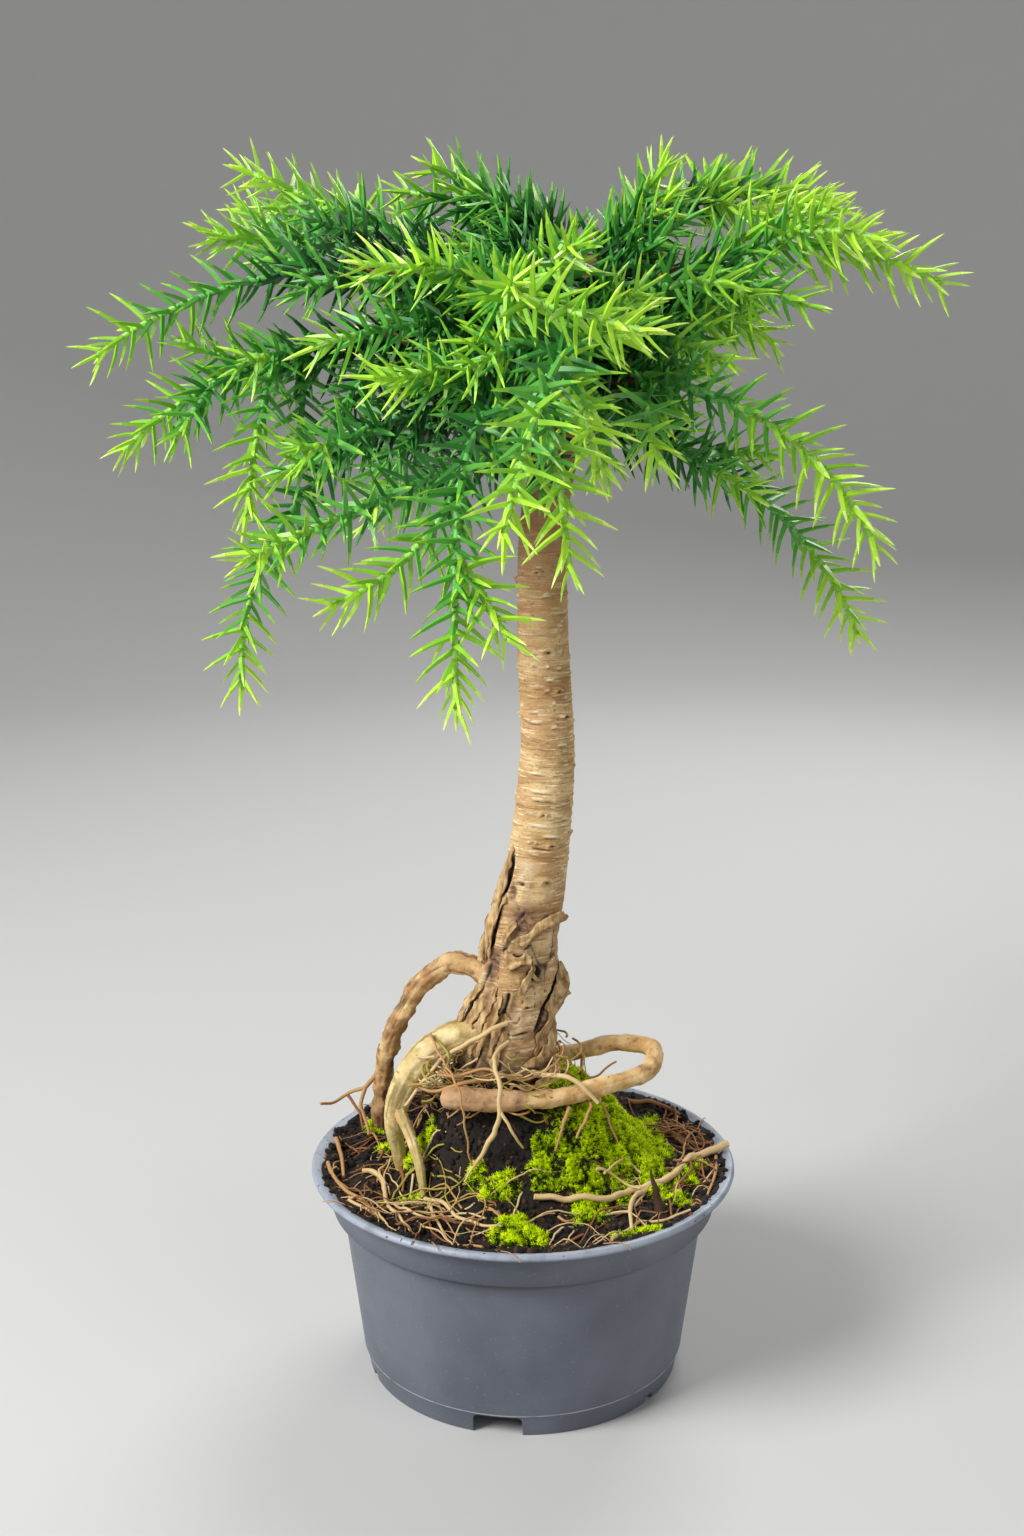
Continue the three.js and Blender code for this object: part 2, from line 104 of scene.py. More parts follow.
def add(tree, kind, settings=None, inputs=None):
    """Adds a node with its settings.

    Each input is set, or linked to a socket or to another node's first live output.
    """
    node = tree.nodes.new(kind)
    for name, value in (settings or {}).items():
        setattr(node, name, value)
    live = [socket for socket in node.inputs if socket.enabled]
    for name, value in (inputs or {}).items():
        socket = live[name] if isinstance(name, int) else next(s for s in live if s.name == name)
        if isinstance(value, bpy.types.Node):
            value = next(output for output in value.outputs if output.enabled)
        if isinstance(value, bpy.types.NodeSocket):
            tree.links.new(value, socket)
        else:
            socket.default_value = value
    return node


def plain(name, colour, roughness, **sockets):
    """A finish of one colour and one roughness."""
    material = bpy.data.materials.new(name)
    material.use_nodes = True
    shader = material.node_tree.nodes["Principled BSDF"]
    shader.inputs["Base Color"].default_value = linear(colour)
    shader.inputs["Roughness"].default_value = roughness
    for socket, value in sockets.items():
        shader.inputs[socket].default_value = value
    return material


print("middle grey is", round(linear("#808080")[0], 2), "in linear light")

# %% [markdown]
# ## Floor and light
# A pale floor and three large soft lamps stand in for a studio. Large lamps give the soft edge that a
# shadow has under a soft box, and the key lamp is up on the left, where the trunk is brightest. The floor
# curves up into a wall, so that no line shows behind the plant.

# %% Floor and lamps
FULL_TURN = 2 * math.pi
FLOOR = {"reach": 1500, "bend": 1400, "top": 3600}  # flat radius, bend into the wall, and the wall's height
FLOOR_STEPS = {"bend": 24, "round": 96}
LAMPS = {  # place, width, power in watts
    "key": ((-1150, -700, 1150), 750, 35),
    "fill": ((1200, -900, 700), 1000, 5),
    "rim": ((500, 1200, 1200), 900, 14),
}
AIM = Vector((0, 0, 260))  # the middle of the plant, where the lamps point
SURROUND = {"colour": "#dcdddf", "strength": 0.27}  # light from all round, which fills the shadows


def swept(turn):
    """The floor and the wall that it curves up into, seen in section."""
    return FLOOR["reach"] + FLOOR["bend"] * math.sin(turn), FLOOR["bend"] * (1 - math.cos(turn))


section = [(0, 0), *(swept(turn) for turn in np.linspace(0, math.pi / 2, FLOOR_STEPS["bend"]))]
section.append((section[-1][0], FLOOR["top"]))
backdrop = bmesh.new()
for radius, height in section:
    backdrop.verts.new((radius * MM, 0, height * MM))
backdrop.verts.ensure_lookup_table()
edges = [backdrop.edges.new(pair) for pair in zip(backdrop.verts[:], backdrop.verts[1:])]
bmesh.ops.spin(
    backdrop, geom=backdrop.verts[:] + edges, cent=(0, 0, 0), axis=(0, 0, 1), angle=FULL_TURN,
    steps=FLOOR_STEPS["round"],
)
bmesh.ops.remove_doubles(backdrop, verts=backdrop.verts, dist=MM)
floor_mesh = bpy.data.meshes.new("floor")
backdrop.to_mesh(floor_mesh)
backdrop.free()
floor_mesh.shade_smooth()
floor_mesh.materials.append(plain("painted_studio_floor", "#c8c8c6", 0.8))
floor = bpy.data.objects.new("floor", floor_mesh)
bpy.context.scene.collection.objects.link(floor)

for lamp_name, (place, width, power) in LAMPS.items():
    lamp = bpy.data.objects.new(lamp_name, bpy.data.lights.new(lamp_name, "AREA"))
    lamp.data.size = width * MM
    lamp.data.energy = power
    lamp.location = Vector(place) * MM
    lamp.rotation_euler = (AIM - Vector(place)).to_track_quat("-Z", "Y").to_euler()
    bpy.context.scene.collection.objects.link(lamp)

world = bpy.data.worlds.new("studio")
world.use_nodes = True
surround = world.node_tree.nodes["Background"]
surround.inputs["Color"].default_value = linear(SURROUND["colour"])
surround.inputs["Strength"].default_value = SURROUND["strength"]
bpy.context.scene.world = world
bpy.context.scene.view_settings.view_transform = "Standard"
print("floor and", len(LAMPS), "lamps")

# %% [markdown]
# ## Meshes from rings
# A pot, a trunk and a root are all rings of points, one after another. One function joins rings into faces,
# and one keeps the result as a piece of the object: it rides on the plant's one body and stands for the
# plain solids that it replaces.

# %% Rings and pieces


def ring_faces(rows, sides):
    """Four-sided faces between neighbouring rings, closed round the sides."""
    here = np.arange(rows - 1)[:, None] * sides + np.arange(sides)
    beside = np.arange(rows - 1)[:, None] * sides + (np.arange(sides) + 1) % sides
    return np.stack([here, beside, beside + sides, here + sides], -1).reshape(-1, 4).tolist()


def closed(rings):
    """Vertices and faces of rings whose two ends are capped."""
    rows, sides = rings.shape[:2]
    caps = [list(range(sides))[::-1], list(range((rows - 1) * sides, rows * sides))]
    return rings.reshape(-1, 3), ring_faces(rows, sides) + caps


def joined(parts):
    """Several (vertices, faces) as one."""
    vertices, faces, first = [], [], 0
    for part_vertices, part_faces in parts:
        vertices.append(part_vertices)
        faces += [[first + i for i in face] for face in part_faces]
        first += len(part_vertices)
    return np.vstack(vertices), faces


def new_object(name, vertices, faces, material=None, edges=()):
    """A smooth mesh object in the scene, from points in millimetres."""
    mesh = bpy.data.meshes.new(name)
    mesh.from_pydata((np.asarray(vertices) * MM).tolist(), list(edges), faces)
    mesh.shade_smooth()
    if material:
        mesh.materials.append(material)
    made = bpy.data.objects.new(name, mesh)
    bpy.context.scene.collection.objects.link(made)
    return made


def store(piece, name, values):
    """Keeps a number for each vertex of a piece, under a name that its finish or a tree can read."""
    attribute = piece.data.attributes.new(name, "FLOAT", "POINT")
    attribute.data.foreach_set("value", np.asarray(values, float).ravel())


def as_mesh(name, source):
    """A plain mesh object of what source becomes with its modifiers, which replaces source."""
    bpy.context.view_layer.update()
    evaluated = source.evaluated_get(bpy.context.evaluated_depsgraph_get())
    mesh = bpy.data.meshes.new_from_object(evaluated)
    bpy.data.objects.remove(source)
    made = bpy.data.objects.new(name, mesh)
    bpy.context.scene.collection.objects.link(made)
    return made


def keep(piece, slot, *nodes):
    """The finished piece joins the object, in place of the solids that it stands for."""
    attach(piece, "root")
    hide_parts(*nodes)
    print(piece.name, "has", len(piece.data.polygons), "faces")


def rough(points, size):
    """Smooth noise, about -1 to 1, at each point, with lumps of that size."""
    return np.array([noise.noise(Vector(point)) for point in np.asarray(points) / size])


def lobe(gap, width):
    """1 in the middle, falling smoothly to 0 beyond the width."""
    return np.exp(-((gap / width) ** 2))


print("two rings of 8 points are joined by", len(ring_faces(2, 8)), "faces")

# %% [markdown]
# ## Pot
# The pot is injection-moulded polypropylene: one turned wall with a rolled lip, a collar that stands out from
# the wall, and a foot ring that three wide and three narrow drain notches break. It could be a subdivided
# cylinder, but a profile turned about Z keeps the wall's true thickness. Each corner of the profile is
# rounded, as a mould's corners are, and the notches are cut with a Boolean modifier.

# %% Pot profile
POT_SIDES = 176
CORNER = {"steps": 4, "most": 0.45}  # points in a rounded corner, and the most of an edge that it takes up
POT_PROFILE = [  # radius, height and corner radius, from the underside's middle round to the inside's
    (0, 0, 0), (46, 0, 1), (47.8, 8.4, 1), (61, 8.4, 0.8), (61, 0, 0.5), (62.8, 0, 0.6), (64.4, 8.7, 0.2),
    (65.2, 9.1, 0.2), (65.1, 9.6, 0.2), (72.2, 64.9, 0.1), (72.6, 68, 0.4), (76.8, 69.2, 0.6),
    (78.4, 82.6, 1.2), (84.2, 83, 0.8), (85, 84.4, 0.7), (84, 86, 0.9), (82.2, 85.8, 0.8), (76.6, 83, 1),
    (75, 71, 1), (70.8, 69.8, 1), (63.2, 10.2, 1), (46, 10.2, 1), (44.2, 1.8, 1), (0, 1.8, 0),
]
MERGE = 0.01  # points nearer than this become one


def rounded(profile):
    """A profile whose corners are arcs, each set back from its corner by the corner's radius."""
    points = np.array([row[:2] for row in profile], float)
    made = [points[0]]
    for before, corner, after, (_, _, radius) in zip(points, points[1:], points[2:], profile[1:]):
        ends = []
        for other in (before, after):
            way = other - corner
            reach = np.linalg.norm(way)
            ends.append(corner + way / reach * min(radius, CORNER["most"] * reach))
        for share in np.linspace(0, 1, CORNER["steps"]):
            made.append(ends[0] * (1 - share) ** 2 + corner * 2 * share * (1 - share) + ends[1] * share**2)
    return np.array([*made, points[-1]])


def turned(profile, sides):
    """A profile turned about Z, as rings."""
    turn = np.linspace(0, FULL_TURN, sides, endpoint=False)
    radius, height = profile[:, :1], profile[:, 1:]
    rings = np.stack([radius * np.cos(turn), radius * np.sin(turn), height + 0 * turn], -1)
    return rings.reshape(-1, 3), ring_faces(len(profile), sides)


pot = new_object("pot_shell", *turned(rounded(POT_PROFILE), POT_SIDES))
shell = bmesh.new()
shell.from_mesh(pot.data)
bmesh.ops.remove_doubles(shell, verts=shell.verts, dist=MERGE * MM)
bmesh.ops.recalc_face_normals(shell, faces=shell.faces)
shell.to_mesh(pot.data)
shell.free()
print("pot shell of", len(pot.data.polygons), "faces")

# %% Notches
NOTCHES = [  # how many, azimuth of the first, width, height, and radius of the upper corners
    (3, 261, 19, 8.2, 2.2), (3, 321, 5.2, 3, 1),
]
NOTCH_BLOCK = {"span": (56, 70), "foot": -2, "corner_steps": 6}  # the radii between which a notch cuts
MOULDED_EDGE = {"width": 0.35, "steps": 2, "angle": 50}  # rounding where faces meet at more than this angle
SHARP_ANGLE = 45  # faces that meet at more than this aren't shaded as one


def notch_block(azimuth, width, height, corner):
    """A block with rounded upper corners, across the foot ring at an azimuth."""
    half, foot = width / 2, NOTCH_BLOCK["foot"]
    arc = np.radians(np.linspace(0, 90, NOTCH_BLOCK["corner_steps"]))
    bend = np.stack([half - corner + corner * np.cos(arc), height - corner + corner * np.sin(arc)], -1)
    outline = np.array([(half, foot), *bend, *(bend[::-1] * (-1, 1)), (-half, foot)])
    turn = math.radians(azimuth)
    out = np.array([math.cos(turn), math.sin(turn), 0])
    side = np.array([-math.sin(turn), math.cos(turn), 0])
    across = outline[:, :1] * side + outline[:, 1:] * np.array([0, 0, 1])
    return closed(np.stack([across + out * radius for radius in NOTCH_BLOCK["span"]]))


blocks = []
for count, first, width, height, corner in NOTCHES:
    blocks += [notch_block(first + 360 / count * i, width, height, corner) for i in range(count)]
cutter = new_object("notch_cutter", *joined(blocks))
cut = pot.modifiers.new("notches", "BOOLEAN")
cut.object = cutter
cut.solver = "EXACT"
edge = pot.modifiers.new("moulded_edges", "BEVEL")
edge.width = MOULDED_EDGE["width"] * MM
edge.segments = MOULDED_EDGE["steps"]
edge.limit_method = "ANGLE"
edge.angle_limit = math.radians(MOULDED_EDGE["angle"])
pot = as_mesh("pot_moulded", pot)
bpy.data.objects.remove(cutter)
pot.data.set_sharp_from_angle(angle=math.radians(SHARP_ANGLE))
print("pot with", len(blocks), "notches")

# %% [markdown]
# ## Finishes in layers
# Worn plastic, bark and soil all look as they do because one colour lies over another in patches: scuffs over
# clean plastic, pale peelings over brown bark. So a finish here is a base colour and a list of layers.
# A layer can follow noise, whose lumps are given in millimetres, and can be bound to a height or to an
# attribute that the mesh carries, such as how deep a point lies in a crack.
# The patterns read Object coordinates, because every piece sits at the origin and never moves.

# %% Layered finish
NOISE_DETAIL = {"layer": 3.0, "grain": 4.0}
GRAIN_STRENGTH = 0.8
SHEEN_SPREAD = 0.12  # how far the grain moves the roughness to either side


def weathered(name, colour, roughness, layers, grain):
    """A finish whose colour is laid down in layers, over a fine grain in relief.

    A layer is its colour, how strongly it covers, the noise that it follows, as lump sizes along X, Y and Z
    and the values where it starts and is full, and the attribute or height in millimetres that it is bound
    to, with the same two values. Either may be None. The grain is its lump sizes and its depth.
    """
    made = plain(name, colour, roughness)
    tree = made.node_tree
    shader = tree.nodes["Principled BSDF"]
    place = add(tree, "ShaderNodeTexCoord").outputs["Object"]
    laid = linear(colour)
    for tint, cover, lumps, bound in layers:
        sources = []
        if lumps:
            per_lump = [1 / (size * MM) for size in lumps[0]]
            spot = add(tree, "ShaderNodeMapping", {}, {"Vector": place, "Scale": per_lump})
            cloud = add(tree, "ShaderNodeTexNoise", {}, {
                "Vector": spot, "Scale": 1.0, "Detail": NOISE_DETAIL["layer"],
            })
            sources.append((cloud, *lumps[1:]))
        if bound and bound[0] == "height":
            height = add(tree, "ShaderNodeSeparateXYZ", {}, {"Vector": place}).outputs["Z"]
            sources.append((height, bound[1] * MM, bound[2] * MM))
        elif bound:
            stored = add(tree, "ShaderNodeAttribute", {"attribute_name": bound[0]}).outputs["Fac"]
            sources.append((stored, *bound[1:]))
        for value, start, full in sources:
            reach = add(tree, "ShaderNodeMapRange", {}, {"Value": value, "From Min": start, "From Max": full})
            cover = add(tree, "ShaderNodeMath", {"operation": "MULTIPLY"}, {0: cover, 1: reach})
        laid = add(tree, "ShaderNodeMix", {"data_type": "RGBA"}, {
            "Factor": cover, "A": laid, "B": linear(tint),
        })
    per_grain = [1 / (size * MM) for size in grain[0]]
    spot = add(tree, "ShaderNodeMapping", {}, {"Vector": place, "Scale": per_grain})
    fine = add(tree, "ShaderNodeTexNoise", {}, {
        "Vector": spot, "Scale": 1.0, "Detail": NOISE_DETAIL["grain"],
    })
    bump = add(tree, "ShaderNodeBump", {}, {
        "Height": fine, "Distance": grain[1] * MM, "Strength": GRAIN_STRENGTH,
    })
    sheen = add(tree, "ShaderNodeMapRange", {}, {
        "Value": fine, "To Min": roughness - SHEEN_SPREAD, "To Max": min(1.0, roughness + SHEEN_SPREAD),
    })
    for node, socket in ((laid, "Base Color"), (bump, "Normal"), (sheen, "Roughness")):
        tree.links.new(next(output for output in node.outputs if output.enabled), shader.inputs[socket])
    return made


# Satin injection-moulded plastic: the mould leaves a fine grain, handling leaves pale scuffs, and the lip is
# lighter, with dark nicks in it. The wall is darker toward the foot. A pale line marks the seam above the
# foot, and a band under the collar's step is a painted shade.
pot_plastic = weathered("moulded_polypropylene", "#565b67", 0.46, [
    ("#666b77", 1.0, ((34, 34, 34), 0.35, 0.68), None),
    ("#8e949f", 0.35, ((1.0, 1.0, 1.0), 0.64, 0.72), None),
    ("#4b505a", 0.5, ((60, 60, 14), 0.5, 0.75), ("height", 40, 8)),
    ("#a2aab8", 0.9, ((12, 12, 12), 0.2, 0.5), ("height", 83.2, 84.6)),
    ("#33363d", 1.0, ((2.6, 2.6, 2.6), 0.66, 0.68), ("height", 83.6, 85.0)),
    ("#b9c0ca", 0.5, ((9, 9, 9), 0.3, 0.5), ("seam", 0.2, 0.8)),
    # painted shade in the band under the collar's step
    ("#2b2e35", 0.9, None, ("grime", 0.2, 0.9)),
], ((0.9, 0.9, 0.9), 0.04))
print("plastic of", len(pot_plastic.node_tree.nodes), "nodes")

# %% Pot piece
# The second band is the painted shade under the collar's step.
BANDS = {"seam": (9.2, 0.4), "grime": (68.2, 1.8)}  # height and half width
pot_points = np.zeros(len(pot.data.vertices) * 3)
pot.data.vertices.foreach_get("co", pot_points)
for name, (level, half_width) in BANDS.items():
    store(pot, name, lobe(pot_points[2::3] / MM - level, half_width))
pot.data.materials.append(pot_plastic)
keep(pot, "pot_plastic", "pot")

# %% [markdown]
# ## Soil
# The potting mix is dark, fibrous and lumpy. It is level near the rim and heaped up under the trunk, where
# the roots have lifted it. One height function says where the ground is, and the soil, the moss and the fine
# roots all use it, so each lies on what carries it. A hollow under the front root holds the deep shadow
# that the photograph shows there, and the roots hold up a knoll of soil round the trunk's foot.

# %% Ground height
SOIL = {"level": 83, "mound": 115, "top": 20, "foot": 57, "edge": 81.3, "edge_rise": 2.3}
HOLLOW = {"x": -9, "y": -33, "half_x": 24, "half_y": 9, "depth": 8}
KNOLL = {"x": -11, "y": -2, "half_x": 23, "half_y": 15, "rise": 22}
SOIL_LUMPS = [(2.4, 19), (1.3, 6.5)]  # height and size
RIM_BAND = {"width": 8, "calm": 0.7}  # near the rim the soil is smoother


def ground(x, y):
    """The height of the soil's surface."""
    reach = np.hypot(x, y)
    share = np.clip((SOIL["foot"] - reach) / (SOIL["foot"] - SOIL["top"]), 0, 1)
    mound = (SOIL["mound"] - SOIL["level"]) * share**2 * (3 - 2 * share)
    hollow = lobe(x - HOLLOW["x"], HOLLOW["half_x"]) * lobe(y - HOLLOW["y"], HOLLOW["half_y"])
    knoll = lobe(x - KNOLL["x"], KNOLL["half_x"]) * lobe(y - KNOLL["y"], KNOLL["half_y"])
    heap = SOIL["level"] + mound + KNOLL["rise"] * knoll - HOLLOW["depth"] * hollow
    flat = np.stack([x, y, 0 * x], -1).reshape(-1, 3)
    uneven = sum(height * rough(flat, size) for height, size in SOIL_LUMPS).reshape(np.shape(x))
    rim = np.clip((reach - SOIL["edge"] + RIM_BAND["width"]) / RIM_BAND["width"], 0, 1)
    return heap + uneven * (1 - RIM_BAND["calm"] * rim) + SOIL["edge_rise"] * rim


SOIL_ROWS, SOIL_SIDES = 70, 200
SOIL_MIDDLE = 0.5  # radius of the last ring
SOIL_FILL = [  # radius and height under the surface, clear of the pot's wall
    (76.4, 83.2), (75.9, 82), (74.4, 71.7), (70.2, 70.5), (62.6, 10.9), (SOIL_MIDDLE, 10.9),
]
around = np.linspace(0, FULL_TURN, SOIL_SIDES, endpoint=False)
reach = np.linspace(SOIL["edge"], SOIL_MIDDLE, SOIL_ROWS)[::-1, None]
x, y = reach * np.cos(around), reach * np.sin(around)
surface = np.stack([x, y, ground(x, y)], -1)
below = [np.stack([r * np.cos(around), r * np.sin(around), z + 0 * around], -1) for r, z in SOIL_FILL]
soil_rings = np.concatenate([surface, below])[::-1]
soil = new_object("soil_fill", *closed(soil_rings))
print("soil from", round(surface[..., 2].min()), "to", round(surface[..., 2].max()), "mm")

# %% Soil finish
# Peat mix: nearly black when damp, with brown fibres, and dull all over.
peat = weathered("peat_potting_mix", "#120c08", 0.92, [
    ("#2b1b11", 1.0, ((10, 10, 10), 0.42, 0.7), None),
    ("#4d3220", 0.7, ((1.6, 1.6, 1.6), 0.6, 0.72), None),
    # The heap under the trunk is painted blacker toward its top: a painted shade.
    ("#070504", 0.6, None, ("height", 84, 112)),
], ((1.8, 1.8, 1.8), 1.2))
soil.data.materials.append(peat)
keep(soil, "soil", "soil")

# %% [markdown]
# ## Scattering with Geometry Nodes
# Crumbs of soil and sprigs of moss repeat thousands of times over a surface, which is what Geometry Nodes do
# best. The tree spreads points over the faces, puts a picked shape on each, turned and sized at random
# from a fixed seed, and makes the copies real, because only real faces leave Blender with the model.
# A vertex attribute called fullness thins the scatter out toward an edge.

# %% Scatter tree
MOST_PICKS = 99  # a number past the last shape starts again at the first


def new_tree(name, sockets):
    """A Geometry Nodes tree with these inputs, and the outputs of its Group Input node."""
    made = bpy.data.node_groups.new(name, "GeometryNodeTree")
    made.interface.new_socket("Geometry", in_out="INPUT", socket_type="NodeSocketGeometry")
    for socket, kind in sockets.items():
        made.interface.new_socket(socket, in_out="INPUT", socket_type="NodeSocket" + kind)
    made.interface.new_socket("Geometry", in_out="OUTPUT", socket_type="NodeSocketGeometry")
    return made, made.nodes.new("NodeGroupInput").outputs


def grown(name, source, made, values):
    """Runs a tree on a source object and returns the result as a plain mesh piece."""
    modifier = source.modifiers.new(made.name, "NODES")
    modifier.node_group = made
    for item in made.interface.items_tree:
        if item.in_out == "INPUT" and item.name in values:
            modifier[item.identifier] = values[item.name]
    return as_mesh(name, source)


scatter, given = new_tree("scattered_on_surface", {
    "Density": "Float", "Seed": "Int", "Smallest": "Float", "Largest": "Float",
    "Least Turn": "Vector", "Most Turn": "Vector", "Shapes": "Collection", "Material": "Material",
})
fullness = add(scatter, "GeometryNodeInputNamedAttribute", {"data_type": "FLOAT"}, {"Name": "fullness"})
density = add(scatter, "ShaderNodeMath", {"operation": "MULTIPLY"}, {0: given["Density"], 1: fullness})
spots = add(scatter, "GeometryNodeDistributePointsOnFaces", {}, {
    "Mesh": given["Geometry"], "Density": density, "Seed": given["Seed"],
})
turns = add(scatter, "FunctionNodeRandomValue", {"data_type": "FLOAT_VECTOR"}, {
    "Min": given["Least Turn"], "Max": given["Most Turn"], "Seed": given["Seed"],
})
turned_by = add(scatter, "FunctionNodeEulerToRotation", {}, {"Euler": turns})
rotation = add(scatter, "FunctionNodeRotateRotation", {"rotation_space": "LOCAL"}, {
    "Rotation": spots.outputs["Rotation"], "Rotate By": turned_by,
})
sizes = add(scatter, "FunctionNodeRandomValue", {"data_type": "FLOAT"}, {
    "Min": given["Smallest"], "Max": given["Largest"], "Seed": given["Seed"],
})
shapes = add(scatter, "GeometryNodeCollectionInfo", {}, {
    "Collection": given["Shapes"], "Separate Children": True, "Reset Children": True,
})
picks = add(scatter, "FunctionNodeRandomValue", {"data_type": "INT"}, {
    "Min": 0, "Max": MOST_PICKS, "Seed": given["Seed"],
})
copies = add(scatter, "GeometryNodeInstanceOnPoints", {}, {
    "Points": spots, "Instance": shapes, "Pick Instance": True, "Instance Index": picks, "Rotation": rotation,
    "Scale": sizes,
})
real = add(scatter, "GeometryNodeRealizeInstances", {}, {"Geometry": copies})
painted = add(scatter, "GeometryNodeSetMaterial", {}, {"Geometry": real, "Material": given["Material"]})
add(scatter, "NodeGroupOutput", {}, {"Geometry": painted})


def shape_collection(name, solids):
    """A collection of small shapes to copy, which is not part of the scene."""
    made = bpy.data.collections.new(name)
    for i, (vertices, faces) in enumerate(solids):
        shape = new_object(f"{name}_{i}", vertices, faces)
        bpy.context.scene.collection.objects.unlink(shape)
        made.objects.link(shape)
    return made


print("scatter tree with", len(scatter.nodes), "nodes")

# %% [markdown]
# ## Crumbs
# Peat breaks into small angular lumps. Each crumb is a twenty-sided solid pushed out of shape, smooth enough
# at its size. Four plain tints are dealt out in four scatters, dark ones most of all.

# %% Crumbs of soil
CRUMBS = {  # colour, lumps for each square metre, smallest and largest size in mm
    "black": ("#0f0a07", 60000, 0.9, 2.2),
    "dark": ("#1d130c", 130000, 0.6, 1.7),
    "brown": ("#432b1a", 90000, 0.5, 1.5),
    "fibre": ("#6d4a2b", 30000, 0.4, 1.0),
}
CRUMB = {"shapes": 5, "push": (0.7, 1.25), "stretch": (1.2, 1, 0.8)}
CRUMB_PATCHES = {"size": 12, "mean": 0.5, "least": 0.15, "shift": 40}
CRUMB_SEED = 3


def crumb(seed):
    """An icosahedron with its corners pushed in and out at random."""
    draw = random.Random(seed)
    lump = bmesh.new()
    bmesh.ops.create_icosphere(lump, subdivisions=1, radius=1)
    vertices = np.array([vertex.co * draw.uniform(*CRUMB["push"]) for vertex in lump.verts])
    faces = [[vertex.index for vertex in face.verts] for face in lump.faces]
    lump.free()
    return vertices * CRUMB["stretch"], faces


crumb_shapes = shape_collection("crumb", [crumb(seed) for seed in range(CRUMB["shapes"])])
top_rings = soil_rings[len(SOIL_FILL):]
for number, (tint, (colour, amount, least, most)) in enumerate(CRUMBS.items()):
    bed = new_object("bed", top_rings.reshape(-1, 3), ring_faces(SOIL_ROWS, SOIL_SIDES))
    shifted = top_rings.reshape(-1, 3) + number * CRUMB_PATCHES["shift"]
    patchy = CRUMB_PATCHES["mean"] + rough(shifted, CRUMB_PATCHES["size"])
    store(bed, "fullness", np.clip(patchy, CRUMB_PATCHES["least"], 1))
    crumbs = grown(f"soil_crumbs_{tint}", bed, scatter, {
        "Density": amount, "Seed": number + CRUMB_SEED, "Smallest": least, "Largest": most,
        "Least Turn": (0, 0, 0), "Most Turn": (FULL_TURN,) * 3, "Shapes": crumb_shapes,
        "Material": plain(f"peat_crumb_{tint}", colour, 0.95),
    })
    keep(crumbs, "soil")

# %% [markdown]
# ## Moss
# The moss is a cushion of leafy stems a few millimetres high. A low dome follows the ground, and thousands of
# sprigs stand on it. A sprig is a ring of thin closed spikes, so a sprig costs few faces.
# The tints are plain colours, dealt out sprig by sprig: bright on the cushions' tops, which is partly painted
# light, fresh all over, and deep in the gaps between them, which is partly painted shade.

# %% Moss cushions
MOSS = {  # middle x and y, half widths and thickness
    "mat": (37, 2, 26, 47, 3.4), "slope": (11, -35, 10, 9, 1.6), "low": (25, -49, 8, 8, 1.4),
    "fold": (25, -37, 8, 7, 1.8), "middle": (-9, -42, 8, 6, 1.6), "middle_left": (-18, -35, 4, 4, 1.2),
    "front": (-4, -62, 9, 11, 2.4), "front_side": (4, -66, 5, 5, 1.6), "rim": (60, -35, 5, 6, 1.2),
    "right": (64, -17, 5, 8, 1.2), "far": (69, -6, 4, 6, 1.0), "near": (45, -61, 6, 4, 1.0),
    "near_left": (36, -65, 4, 3, 0.9), "toe": (-42, -15, 5, 4, 2.0), "toe_front": (-42, -34, 6, 3, 1.0),
    "knee": (-37, -14, 4, 4, 1.4), "arch": (-61, 31, 6, 7, 1.6), "arch_front": (-55, 9, 4, 4, 1.0),
}
MOSS_ROWS, MOSS_SIDES = 26, 80
MOSS_EDGE = {"ragged": 0.4, "rags": 0.4, "sunk": 1.2, "under": 3}  # rags are sized on a circle of radius 1
MOSS_MIDDLE = 0.01  # share of a dome that is left open for its cap
TUFTS = [(1.4, 5.0), (0.9, 2.2)]  # strength and size
TUFT_RISE = 0.6  # how far tufts raise a cushion, as a share of its thickness


def tufted(spots):
    """From -1 in the gaps between moss cushions to 1 on their tops."""
    return np.clip(sum(strength * rough(spots, size) for strength, size in TUFTS), -1, 1)


def moss_rings(middle_x, middle_y, half_x, half_y, thickness):
    """Rings of a dome on the ground, from its ragged edge, sunk in the soil, to its middle."""
    turn = np.linspace(0, FULL_TURN, MOSS_SIDES, endpoint=False)
    circle = np.stack([np.cos(turn), np.sin(turn), 0 * turn + middle_x], -1)
    ragged = 1 + MOSS_EDGE["ragged"] * rough(circle, MOSS_EDGE["rags"])
    share = np.linspace(1, MOSS_MIDDLE, MOSS_ROWS)[:, None]
    dome_x = middle_x + half_x * share * ragged * np.cos(turn)
    dome_y = middle_y + half_y * share * ragged * np.sin(turn)
    spots = np.stack([dome_x, dome_y, 0 * dome_x], -1).reshape(-1, 3)
    cushion = thickness * (1 + TUFT_RISE * tufted(spots).reshape(dome_x.shape))
    rise = cushion * (1 - share**4) - MOSS_EDGE["sunk"] * share**8
    return np.stack([dome_x, dome_y, ground(dome_x, dome_y) + rise], -1)


def moss_base(rings):
    """The dome with a sunken underside, as one closed body."""
    under = rings[:1] - (0, 0, MOSS_EDGE["under"])
    return closed(np.concatenate([under, rings]))


# The old moss under the tips is brown-green and dull, and shows in the gaps.
old_moss = weathered("old_moss", "#161a06", 0.95, [
    ("#2f4208", 1.0, ((5, 5, 5), 0.45, 0.65), None), ("#2a1b10", 0.8, ((12, 12, 12), 0.55, 0.7), None),
], ((1.5, 1.5, 1.5), 0.8))
cushions = {name: moss_rings(*values) for name, values in MOSS.items()}
bases = joined([moss_base(rings) for rings in cushions.values()])
keep(new_object("moss_cushions", *bases, old_moss), "moss", "moss_mat", "moss_front")
